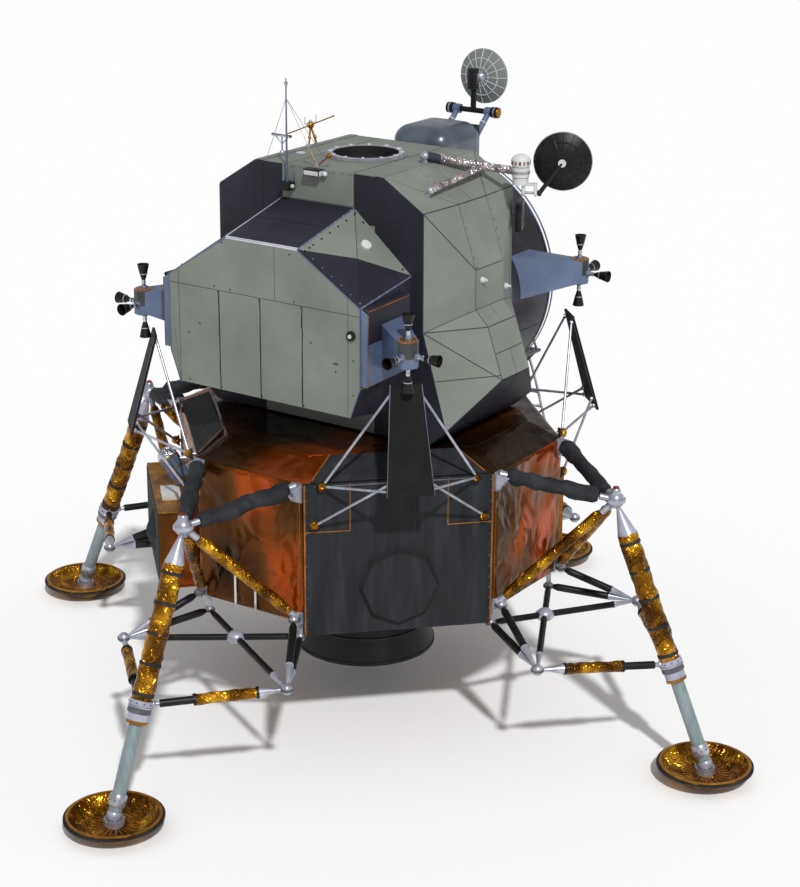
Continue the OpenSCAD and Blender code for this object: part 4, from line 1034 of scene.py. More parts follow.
    def underside(self) -> None:
        """Adds the well's rim, its bolts and the stiffening rings of the nozzle."""
        shape = Shape("well_rim")
        hoop(shape, (0, 0, self.bottom - .006), (0, 0, self.bottom), .80, .86, FRAME_METAL, 96)
        for i in range(36):
            at = turn(i * 10) @ Vector((.83, 0, self.bottom - .006))
            shape.bolts(at, at, 1, .012, -Z, SILVER)
        for angle in range(0, 360, 45):
            inner, outer = (turn(angle + 22.5) @ Vector((d, 0, self.bottom)) for d in (.88, 1.9))
            shape.strip(inner, outer, .03, .006, -Z, BRONZE)
        shape.done()
        rings = Shape("nozzle_rings")
        exit_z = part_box("descent_engine")[0].z
        for share, grow in ((0.985, .006), (.82, .010), (.62, .010), (.42, .010)):
            r = .110 + .65 * share ** .62 + .016
            z = self.nozzle_top - (self.nozzle_top - exit_z) * share
            hoop(rings, (0, 0, z - .008), (0, 0, z + .008), r - .014, r + grow, ENGINE, 96)
        rings.done("descent_engine")


def turn_x(angle: float) -> Vector:
    """Returns a unit vector in the plane across +X, in degrees from +Y."""
    return Vector((0, math.cos(math.radians(angle)), math.sin(math.radians(angle))))


@dataclass
class Deflectors:
    """The four plume deflectors' edges and the foil round their feet."""

    top: tuple[float, float] = (2.233, 4.148)
    foot: tuple[float, float] = (2.530, 3.095)
    top_half: float = 0.160
    foot_half: float = 0.240
    thick: float = 0.022
    foot_x: float = 1.9901
    high: tuple[float, float] = (0.784, 3.050)
    low: tuple[float, float] = (0.868, 2.636)

    def build(self) -> None:
        """Builds the edging of each plate and the lumps at its feet."""
        for angle in QUADS:
            shape = Shape(f"deflector_trim_{angle}", turn(angle))
            rise = Vector((self.foot[0] - self.top[0], 0, self.foot[1] - self.top[1])).normalized()
            out = Vector((-rise.z, 0, rise.x))
            a, b = (Vector((p[0], 0, p[1])) for p in (self.top, self.foot))
            for face, push in ((out, out * self.thick), (-out, Vector())):
                for s in (-1, 1):
                    shape.strip(a + push + Vector((0, s * (self.top_half - .004), 0)),
                                b + push + Vector((0, s * (self.foot_half - .004), 0)), .008, .003, face,
                                FRAME_METAL)
            for s in (-1, 1):
                for w, z in (self.high, self.low):
                    at = Vector((self.foot_x, s * w, z))
                    shape.ball(at, .048, GOLD, .012, 16)
                    shape.turned(at + Vector((-.036, 0, -.006)), at + Vector((1, 0, -.006)),
                                 [(0, 0), (0, .066), (.012, .06), (.04, .03), (.04, 0)], BLANKET, 16, .003,
                                 20)
            shape.done()


# ---------- ascent stage ----------

@dataclass
class TankBays:
    """Skin panels of the two side bays, parted by narrow seams."""

    thick: float = 0.006

    def build(self) -> None:
        """Covers each bay's outer faces."""
        for node, s in (("port_tank_bay", 1), ("starboard_tank_bay", -1)):
            shape = Shape(f"{node}_panels")
            low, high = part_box(node)
            middle = (low + high) / 2

            def outside(at: Vector, normal: Vector) -> bool:
                """Returns whether a face looks out of the vehicle."""
                return normal.y * s > 0.1 or at.z > high.z - .001 or abs(normal.x) > .9 and at.x < middle.x

            for corners, normal in facets(node, outside):
                at = sum(corners, Vector()) / len(corners)
                cuts = self.seams(at, normal)
                # Faces looking aft or down get the dark panel colour as painted shade; the others get the light
                # panel colour.
                painted_shade = normal.x < -.9 or normal.z < -.35
                panels(shape, corners, normal, DARK if painted_shade else LIGHT, thick=self.thick, cuts=cuts)
            shape.done()
            self.fittings(s)

    def seams(self, at: Vector, normal: Vector) -> list[Cut]:
        """Returns the seams of the face with this middle.

        Args:
            at: The face's middle.
            normal: The way it faces.

        Returns:
            Its seams.
        """
        if normal.z > .4 and abs(at.x) < .2:
            return [Cut((0, 0, 0), (1, 0, 0))]
        if at.z < 4.3 and abs(at.x) < .3:
            return [Cut((0, 0, 4.16), (0, 0, 1)), Cut((.02, 0, 0), (1, 0, 0), below=4.16)]
        if at.z < 4.3 and abs(normal.z) < .7 and abs(at.x) > .3:
            return [Cut((0, 0, 3.95), (0, 0, 1))]
        return []

    def fittings(self, s: int) -> None:
        """Adds knobs, a rod and bolts to one side bay.

        Args:
            s: 1 for port, -1 for starboard.
        """
        shape = Shape(f"tank_bay_fittings_{'port' if s > 0 else 'starboard'}")
        for x, y, z in ((-.15, 1.536, 4.876), (.361, 1.500, 4.700)):
            at = Vector((x, s * y, z))
            shape.turned(at, at + Vector((0, s, .1)), [(0, 0), (0, .034), (.03, .030), (.05, .014),
                                                       (.07, .012), (.07, 0)], WHITE, 16)
        shape.rod((.70, s * 1.345, 4.50), (.70, s * 1.345, 5.50), .012, FRAME_METAL)
        for z in (4.55, 5.0, 5.45):
            shape.ball((.70, s * 1.335, z), .022, SILVER)
        for x in (-.262, .262):
            a, b = Vector((x, s * .83, 5.936)), Vector((x, s * 1.295, 5.657))
            shape.bolts(a + Vector((.02, 0, 0)), b + Vector((.02, 0, 0)), 6, .008, (0, s * .5, .85),
                        FRAME_METAL)
            a, b = Vector((x, s * 1.327, 5.60)), Vector((x, s * 1.541, 5.02))
            shape.bolts(a + Vector((.02, 0, 0)), b + Vector((.02, 0, 0)), 7, .008, (0, s, .3), FRAME_METAL)
        shape.done()


@dataclass
class AftBay:
    """Panels, seams and fittings of the equipment bay behind the cabin."""

    rear: float = -1.787
    outline: tuple[tuple[float, float], ...] = ((.443, 5.357), (1.187, 4.882), (1.193, 4.081), (1.074, 3.756))
    root: tuple[tuple[float, float], ...] = ((.450, 5.595), (1.140, 5.001), (1.179, 4.100), (1.100, 3.620))
    root_x: float = -0.840
    side_y: float = 1.190
    lip_y: float = 1.272
    cheek: tuple[float, float] = (4.10, 4.88)

    def build(self) -> None:
        """Covers the bay and adds its fittings."""
        shape = Shape("aft_bay_panels")
        seams = [Cut((0, 0, 4.80), (0, 0, 1)), Cut((0, .545, 0), (0, 1, 0), below=4.8),
                 Cut((0, .025, 0), (0, 1, 0), below=4.8), Cut((0, -.495, 0), (0, 1, 0), below=4.8),
                 Cut((0, -.158, 0), (0, 1, 0), above=4.8), Cut((0, -1.045, 0), (0, 1, 0)),
                 Cut((0, 1.07, 0), (0, 1, 0))]
        for corners, normal in facets("aft_equipment_bay", lambda at, n: at.x < -.9 and n.z > -.8):
            if normal.x < -.9:
                panels(shape, corners, normal, LIGHT, .003, cuts=seams)
            elif normal.z > .9:
                panels(shape, corners, normal, DARK, cuts=[Cut((-1.30, 0, 0), (1, 0, 0))])
            elif normal.z > .3:
                self.shoulder(shape, corners, normal)
            else:
                panels(shape, corners, normal, DARK, cuts=[Cut((-1.50, 0, 0), (1, 0, 0))])
        for s in (-1, 1):
            low, high = self.cheek
            for z0, z1, finish in ((low, 4.52, BLUE_GREY), (4.53, high, DARK)):
                shape.plate([(-1.78, s * self.side_y, z0), (-1.78, s * self.side_y, z1),
                             (-1.02, s * 1.16, z1),
                             (-1.02, s * 1.16, z0)], Vector((0, s, 0)), .078, finish, .004)
            x, inner, outer = self.rear, s * self.side_y, s * self.lip_y
            shape.plate([(x, inner, low), (x, inner, high), (x, outer, high - .05), (x, outer, low)],
                        X, .012, BLUE_GREY, .003)
            shape.strip((-1.782, s * 1.275, low), (-1.782, s * 1.275, high - .05), .012, .004, (0, s, 0),
                        BRONZE)
            shape.strip((-1.782, outer, high - .02), (-1.03, s * 1.242, high - .02), .010, .004, (0, s, .5),
                        BRONZE)
            for x in (-1.50, -1.42):
                shape.rod((x, s * 1.275, 4.50), (x, s * 1.275, 4.58), .010, SILVER)
        shape.done()
        self.edges()
        self.fittings()

    def shoulder(self, shape: Shape, corners: Sequence[Vector], normal: Vector) -> None:
        """Covers a shoulder facet, light above the line to the bay's root and dark below it.

        Args:
            shape: The piece that gets the plates.
            corners: The facet's corners.
            normal: The way it faces.
        """
        s = 1 if normal.y > 0 else -1
        rear, low_root = self.corner(self.outline, 0, s, self.rear), self.corner(self.root, 1, s, self.root_x)
        across = (low_root - rear).cross(Vector((-.2, s * .6, .75))).normalized() * s
        for way, finish in ((1, DARK), (-1, LIGHT)):
            part = bmesh.new()
            part.faces.new([part.verts.new(c) for c in corners])
            bmesh.ops.bisect_plane(part, geom=part.faces[:] + part.edges[:] + part.verts[:], plane_co=rear,
                                   plane_no=across * way, clear_outer=True)
            kept = [[v.co.copy() for v in f.verts] for f in part.faces if f.calc_area() > .004]
            part.free()
            for outline in kept:
                panels(shape, outline, normal, finish, .003)

    def corner(self, table: tuple[tuple[float, float], ...], i: int, s: int, x: float) -> Vector:
        """Returns a corner of the bay from a half outline."""
        return Vector((x, s * table[i][0], table[i][1]))

    def edges(self) -> None:
        """Adds the bright strips and bolt rows along the bay's edges."""
        shape = Shape("aft_bay_edges")
        for s in (-1, 1):
            ends = [self.corner(self.outline, i, s, self.rear) for i in range(4)]
            roots = [self.corner(self.root, i, s, self.root_x) for i in range(4)]
            for a, b in zip(ends, ends[1:]):
                shape.strip(a + Vector((-.006, 0, 0)), b + Vector((-.006, 0, 0)), .012, .004, (-1, 0, 0),
                            BLUE_GREY)
            for i, up in ((0, Vector((0, s * .5, 1))), (1, Vector((0, s, .35))), (2, Vector((0, s, -.2)))):
                a, b = ends[i], roots[i]
                lift = up.normalized() * .006
                bright = LIGHT_EDGE if i == 0 and s > 0 else BLUE_GREY if i < 2 else BRONZE
                shape.strip(a + lift, b + lift, .016, .004, up, bright)
                shape.bolts(along(a, b, .06) + lift, along(a, b, .94) + lift, 7, .010, up, SILVER)
            a, b = ends[0], ends[1]
            shape.bolts(along(a, b, .05) + Vector((.05, 0, .012)), along(a, b, .95) + Vector((.05, 0, .012)),
                        7, .010, (-.3, s * .5, .8), SILVER)
        a, b = (self.corner(self.outline, 0, s, self.rear) for s in (-1, 1))
        shape.strip(a + Vector((-.006, 0, 0)), b + Vector((-.006, 0, 0)), .016, .004, (-1, 0, 0), LIGHT_EDGE)
        shape.strip(a + Vector((.014, 0, .008)), b + Vector((.014, 0, .008)), .022, .004, (-.2, 0, 1),
                    LIGHT_EDGE)
        shape.done()

    def fittings(self) -> None:
        """Adds the bolts, vent, lamp and small device on the bay."""
        shape = Shape("aft_bay_fittings")
        back, x = Vector((-1, 0, 0)), self.rear - .006
        for y in (.545, .025, -.495):
            shape.bolts((x, y + .012, 4.785), (x, y - .012, 3.78), 3, .009, back, TUBE)
            dots = [Vector((x - .001, y + .010 * noise.noise(Vector((y * 9, z * 2.3, 0))), 4.79 - z * .085))
                    for z in range(13)]
            for a, b in zip(dots, dots[1:]):
                shape.strip(a, b, .009, .003, back, TUBE)
        for y, z in ((.60, 4.84), (.40, 4.83), (-.40, 4.83), (.95, 4.30), (.95, 3.80), (-.60, 4.45),
                     (-1.11, 4.35),
                     (-1.11, 4.0), (.80, 4.42), (-.9, 4.2), (1.02, 5.0), (.5, 5.3), (-.35, 5.3)):
            shape.bolts((x, y, z), (x, y, z), 1, .009, back, TUBE)
        shape.strip((x, -.93, 4.284), (x, -.87, 4.284), .014, .004, back, SEAM)
        at = Vector((x, -1.088, 4.598))
        shape.turned(at, at + back, [(0, 0), (0, .05), (.02, .05), (.028, .035), (.028, 0)], TUBE, 24)
        shape.turned(at + back * .024, at + back * 2, [(0, 0), (0, .022), (.014, .018), (.014, 0)], WHITE, 20)
        vent, up = Vector((-1.088, -.738, 5.276)), Vector((-.19, -.64, .74)).normalized()
        shape.turned(vent, vent + up, [(0, 0), (0, .080), (.014, .078), (.018, .058), (.070, .055),
                                       (.077, .048), (.077, 0)], WHITE, 28)
        rear_top = self.corner(self.outline, 0, -1, self.rear)
        root_top, root_low = (self.corner(self.root, i, -1, self.root_x) for i in (0, 1))
        inward = Vector((.0, -.05, -.03)) + up * .008
        shape.bolts(along(rear_top, root_top, .05) + inward, along(rear_top, root_top, .92) + inward, 7,
                    .011, up, TUBE)
        inward = Vector((.04, .0, .03)) + up * .008
        shape.bolts(along(rear_top, root_low, .08) + inward, along(rear_top, root_low, .9) + inward, 5, .011,
                    up, TUBE)
        inward = Vector((-.05, .0, .0)) + up * .008
        shape.bolts(along(root_top, root_low, .06) + inward, along(root_top, root_low, .2) + inward, 2, .011,
                    up, TUBE)
        shape.ball((-1.70, -.56, 5.27), .040, WHITE, squash=(1, 1, .7))
        shape.done()


@dataclass
class Deck:
    """Seams, lugs and small fittings of the top deck and its rear face."""

    z: float = 5.950
    half_l: float = 0.840
    half_w: float = 0.793
    ring_r: float = 0.345

    def build(self) -> None:
        """Adds the deck's details."""
        shape = Shape("deck_details")
        for y in (-.43, .41):
            count = 14
            step = 2 * self.half_l / count
            for i in range(count):
                x = -self.half_l + step * i
                shape.strip((x + .008, y, self.z), (x + step - .008, y, self.z), .008, .002, Z, SEAM)
        for s in (-1, 1):
            shape.strip((-self.half_l, s * .70, self.z), (self.half_l, s * .70, self.z), .006, .002, Z, SEAM)
            shape.bolts((-.78, s * .755, self.z), (.78, s * .755, self.z), 16, .008, Z, FRAME_METAL)
            shape.strip((-self.half_l, s * (self.half_w - .012), self.z),
                        (self.half_l, s * (self.half_w - .012), self.z), .016, .003, Z, LIGHT_EDGE)
        for x, y in ((-.30, .62), (.45, -.62)):
            shape.turned((x, y, self.z), (x, y, self.z + 1), [(0, 0), (0, .050), (.004, .046), (.004, 0)],
                         LIGHT_EDGE)
        hoop(shape, (0, 0, self.z), (0, 0, self.z + .012), self.ring_r + .055, self.ring_r + .085, LIGHT, 72)
        # A thin near-black sleeve inside the docking ring's bore: painted shadow down the tunnel, not a part.
        hoop(shape, (0, 0, self.z - .09), (0, 0, self.z + .028), self.ring_r - .004, self.ring_r, TUNNEL_SHADOW, 72)
        for i in range(12):
            at = turn(i * 30) @ Vector((self.ring_r + .030, 0, self.z + .035))
            shape.slab(at + Z * .004, (.05, .028, .014), LIGHT_EDGE, turn(i * 30))
        for i in range(24):
            at = turn(i * 15 + 7) @ Vector((self.ring_r + .070, 0, self.z + .012))
            shape.bolts(at, at, 1, .008, Z, SILVER)
        x = -self.half_l
        back = Vector((-1, 0, 0))
        shape.plate([(x, -.436, 5.61), (x, .444, 5.61), (x, .444, 5.945), (x, -.436, 5.945)], back, .008,
                    LIGHT)
        for y0, y1 in ((-.70, -.446), (.454, .70)):
            shape.plate([(x, y0, 5.45), (x, y1, 5.45), (x, y1, 5.945), (x, y0, 5.945)], back, .006, DARK)
        shape.bolts((x - .008, -.41, 5.93), (x - .008, .42, 5.93), 9, .008, back, FRAME_METAL)
        shape.done()


@dataclass
class ThrusterCluster:
    """Four thrusters round a can at one corner of the cabin."""

    name: str
    sx: int
    sy: int
    z: float
    reach: float = 1.657
    can_r: float = 0.105
    can_h: float = 0.270
    neck: float = 0.095
    bell: float = 0.165
    exit_r: float = 0.062

    def build(self) -> None:
        """Builds the can and its four bells."""
        shape = Shape(f"{self.name}_cluster")
        at = Vector((self.sx * self.reach, self.sy * self.reach, self.z))
        low, h = at - Z * self.can_h / 2, self.can_h
        shape.turned(low, at, [(0, 0), (0, self.can_r - .01), (.01, self.can_r), (h - .01, self.can_r),
                               (h, self.can_r - .01), (h, 0)], CAN, 8)
        for d, deep, finish in ((0, .09, BLUE_GREY), (.09, .006, ORANGE), (h - .012, .008, ORANGE)):
            shape.band(low, at, d, d + deep, self.can_r + .001, finish, 8)
        for i in range(12):
            out = turn(i * 30 + 15) @ Vector((self.can_r - .022, 0, 0))
            shape.bolts(at + Z * h / 2 + out, at + Z * h / 2 + out, 1, .008, Z, SILVER)
            shape.bolts(low + out, low + out, 1, .008, -Z, SILVER)
        hoop(shape, at + Z * (h / 2), at + Z * (h / 2 + .006), .045, .082, GOLD_TRIM, 32)
        hoop(shape, low - Z * .006, low, .045, .082, GOLD_TRIM, 32)
        side = self.can_r - .008
        for start, way in ((Z * (h / 2 - .005), Z), (-Z * (h / 2 - .005), -Z),
                           (Vector((self.sx * side, 0, -.02)), Vector((self.sx, 0, 0))),
                           (Vector((0, self.sy * side, -.02)), Vector((0, self.sy, 0)))):
            self.thruster(shape, at + start, way)
        shape.done(stands_for=(self.name,))

    def thruster(self, shape: Shape, at: Vector, way: Vector) -> None:
        """Adds one thruster: base, chrome neck and hollow bell.

        Args:
            shape: The piece that gets it.
            at: The middle of its base.
            way: The way it fires.
        """
        n, full, mid = self.neck, self.neck + self.bell, self.neck + self.bell * .4
        shape.turned(at, at + way, [(0, 0), (0, .038), (.02, .038), (.032, .030), (.032, 0)], BLUE_GREY, 24)
        shape.turned(at, at + way, [(.03, 0), (.03, .027), (.06, .018), (n, .020), (n, 0)], CHROME, 24)
        shape.turned(at, at + way, [(.062, 0), (.066, .026), (.074, .026), (.078, 0)], CHROME, 24)
        outer = [(n, 0), (n, .020), (n + .02, .027), (mid, .040), (n + self.bell * .7, .052),
                 (full, self.exit_r)]
        inner = [(full, self.exit_r - .006), (n + self.bell * .7, .045), (mid, .032), (n + .03, 0)]
        shape.turned(at, at + way, outer + inner, BELL, 32)
        hoop(shape, at + way * (mid - .004), at + way * (mid + .004), .036, .044, SILVER, 28)


@dataclass
class Cabin:
    """The front half: drum, face, windows, hatch, fairings and porch trim."""

    drum_r: float = 1.290
    drum_z: float = 4.410
    rear: float = 0.8403
    front: float = 1.6803

    def build(self) -> None:
        """Builds the cabin's trim."""
        shape = Shape("cabin_rims")
        for x in (self.rear + .001, self.front - .03, self.front + .034):
            hoop(shape, (x, 0, self.drum_z), (x + .02, 0, self.drum_z), self.drum_r - .002,
                 self.drum_r + .006, BLUE_GREY, 96)
        for i in range(72):
            out = turn_x(i * 5)
            for x in (self.rear + .045, self.front - .05):
                at = Vector((x, 0, self.drum_z)) + out * self.drum_r
                if abs(out.y) > .28 or out.z < 0:
                    shape.bolts(at, at, 1, .009, out, FRAME_METAL)
        for angle in (25, 65, 115, 155, 200, 245, 295, 340):
            out = turn_x(angle)
            a, b = (Vector((x, 0, self.drum_z)) + out * (self.drum_r - .001)
                    for x in (self.rear + .02, self.front))
            shape.strip(a, b, .012, .004, out, SEAM)
        shape.done()
        self.windows()
        self.hatch()
        self.fairings()
        self.porch()

    def windows(self) -> None:
        """Frames the two three-cornered windows."""
        shape = Shape("window_frames")
        x = self.front + .0603
        for s in (-1, 1):
            dots = [Vector((x, s * y, z)) for y, z in ((.25, 5.0), (.95, 5.06), (.42, 4.42))]
            middle = sum(dots, Vector()) / 3
            outer = [p + (p - middle).normalized() * .035 for p in dots]
            for a, b in zip(outer, outer[1:] + outer[:1]):
                shape.strip(a, b, .030, .012, (1, 0, 0), LIGHT_EDGE)
                shape.bolts(along(a, b, .08) + Vector((.012, 0, 0)), along(a, b, .92) + Vector((.012, 0, 0)),
                            7, .006, (1, 0, 0), FRAME_METAL)
        shape.done()

    def hatch(self) -> None:
        """Adds the forward hatch's quilted skin and valve, which swing with it."""
        low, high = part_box("front_hatch")
        x, m = high.x, .05
        shape = Shape("hatch_skin")
        y0, y1, z0, z1 = low.y + m, high.y - m, low.z + m, high.z - m
        for i in range(2):
            for j in range(2):
                a, b = y0 + (y1 - y0) * i / 2 + .004, y0 + (y1 - y0) * (i + 1) / 2 - .004
                c, d = z0 + (z1 - z0) * j / 2 + .004, z0 + (z1 - z0) * (j + 1) / 2 - .004
                shape.sheet([(x, a, c), (x, b, c), (x, b, d), (x, a, d)], (12, 12), .002, .008, GOLD, 6)
        shape.turned((x, .14, 3.75), (x + 1, .14, 3.75), [(0, 0), (0, .05), (.02, .05), (.03, .02),
                                                          (.03, 0)], SILVER)
        shape.done("front_hatch")

    def fairings(self) -> None:
        """Trims the arms that carry the clusters."""
        shape = Shape("fairing_trim")
        for s in (-1, 1):
            for sx, z, root_x, root_y, root_z in ((1, 4.62, 1.11, 1.18, 4.60), (-1, 4.49, -1.23, 1.12, 4.44)):
                for dz in (-1, 1):
                    a = Vector((root_x + .2 * sx, s * (root_y + .16), root_z + dz * .205))
                    b = Vector((sx * 1.60, s * 1.52, z + dz * .125))
                    shape.strip(a, b, .012, .005, (0, s * .2, dz), BRONZE)
        shape.done()

    def porch(self) -> None:
        """Adds the treads of the porch and grips on its rails."""
        shape = Shape("porch_treads")
        rail_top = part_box("porch")[1].z
        z = 3.190
        for i in range(10):
            x = 1.985 + i * .108
            shape.strip((x, -.34, z), (x, .34, z), .04, .004, Z, CHARCOAL)
            shape.bolts((x, -.36, z), (x, .36, z), 2, .008, Z, SILVER)
        for s in (-1, 1):
            y = s * .39
            shape.rod((2.14, y, rail_top - .014), (2.66, y, rail_top - .014), .017, WHITE)
        shape.done()


# ---------- antennas ----------

@dataclass
class DishAntenna:
    """A dish on its boom or post, facing +X in its own place."""

    centre: Point
    radius: float
    depth: float
    face: Finish
    back: Finish
    feed: float

    def shell(self, shape: Shape) -> None:
        """Adds the thin bowl, its rim, back ribs and feed.

        Args:
            shape: The piece that gets them.
        """
        c = Vector(self.centre)
        ahead = X
        n = 14
        bowl = [(self.depth * (i / n) ** 2, self.radius * i / n) for i in range(n + 1)]
        front = [(d + .008, r) for d, r in reversed(bowl)]
        shape.turned(c, c + ahead, bowl + front, self.back, 72)
        skin = [(d + .009, r * .985) for d, r in bowl] + [(d + .012, r * .985) for d, r in reversed(bowl)]
        shape.turned(c, c + ahead, skin, self.face, 72)
        hoop(shape, c + ahead * (self.depth - .004), c + ahead * (self.depth + .012), self.radius - .012,
             self.radius, SILVER, 72)
        for k in range(16):
            out = turn_x(k * 22.5)
            for i in range(4):
                p, q = i / 4 * .9 + .08, (i + 1) / 4 * .9 + .08
                a = c + ahead * (self.depth * p * p - .003) + out * self.radius * p
                b = c + ahead * (self.depth * q * q - .003) + out * self.radius * q
                shape.rod(a, b, .005, self.face, sides=6)
        for share in (.35, .68):
            d = self.depth * share ** 2
            hoop(shape, c + ahead * (d - .008), c + ahead * d, self.radius * share - .006,
                 self.radius * share + .004, self.face, 56)
        tip = c + ahead * self.feed
        for k in range(4):
            out = turn_x(45 + k * 90)
            shape.rod(c + ahead * (self.depth * .36 + .006) + out * self.radius * .6, tip, .005, SILVER,
                      sides=8)
        shape.rod(c + ahead * .006, tip, .013, SILVER)
        shape.turned(tip - ahead * .02, tip + ahead, [(0, 0), (0, .05), (.012, .05), (.02, 0)], LIGHT_EDGE,
                     28)


@dataclass
class Radar:
    """The forward radar: arms' trim, shaft drums and dish."""

    x: float = 2.083
    z: float = 6.123
    post: float = 6.475
    dish_r: float = 0.305
    dish_deep: float = 0.090
    arm_y: float = 0.205
    arm_foot: tuple[float, float] = (1.650, 5.735)

    def build(self) -> None:
        """Builds the radar's pieces on their three bodies."""
        shape = Shape("radar_dish_fine")
        dish = DishAntenna((self.x + .120, 0, self.post), self.dish_r, self.dish_deep, LIGHT_EDGE, LIGHT, .19)
        dish.shell(shape)
        top = Vector((self.x, 0, self.post))
        shape.rod(top - Z * .085, top + Z * .085, .016, SILVER)
        shape.turned(top - Z * .054, top, [(0, 0), (0, .030), (.01, .036), (.098, .036), (.108, .030),
                                           (.108, 0)], TUBE, 28)
        shape.turned(top, top + X, [(.02, 0), (.02, .028), (.09, .028), (.13, .06),
                                    (.13, 0)], SILVER, 28)
        shape.done("radar_dish", ("radar_dish",))
        drums = Shape("radar_drum_caps")
        for s in (-1, 1):
            a = Vector((self.x, s * .330, self.z))
            out = Vector((0, s, 0))
            drums.turned(a - out * .002, a + out, [(0, 0), (0, .056), (.008, .050), (.012, .02), (.012, 0)],
                         GOLD_TRIM, 28)
            hoop(drums, a - out * .045, a - out * .030, .058, .064, SILVER, 32)
        drums.done("radar_shaft")
        dome = Shape("radar_dome")
        dome.slab((1.31, -.02, 5.70), (.82, .74, .80), SATIN_BLUE, round_by=.19, segments=7)
        dome.slab((1.655, -.16, 5.86), (.10, .34, .38), TUBE, round_by=.014)
        dome.done(stands_for=("radar_fairing",))
        trim = Shape("radar_arm_trim")
        for s in (-1, 1):
            y = s * self.arm_y
            foot, head = Vector((self.arm_foot[0], y, self.arm_foot[1])), Vector((self.x, y, self.z))
            trim.slab(foot + Vector((0, 0, .02)), (.14, .11, .02), SILVER)
            for share in (.3, .7):
                trim.rod(along(foot, head, share), along(foot, head, share + .04), .037, SILVER, sides=20)
        for y in (-.13, .13):
            trim.rod((1.70, y, 5.76), (1.90, y, 5.96), .016, BLUE_GREY)
        trim.rod((1.90, -.14, 5.96), (1.90, .14, 5.96), .016, BLUE_GREY)
        trim.done()


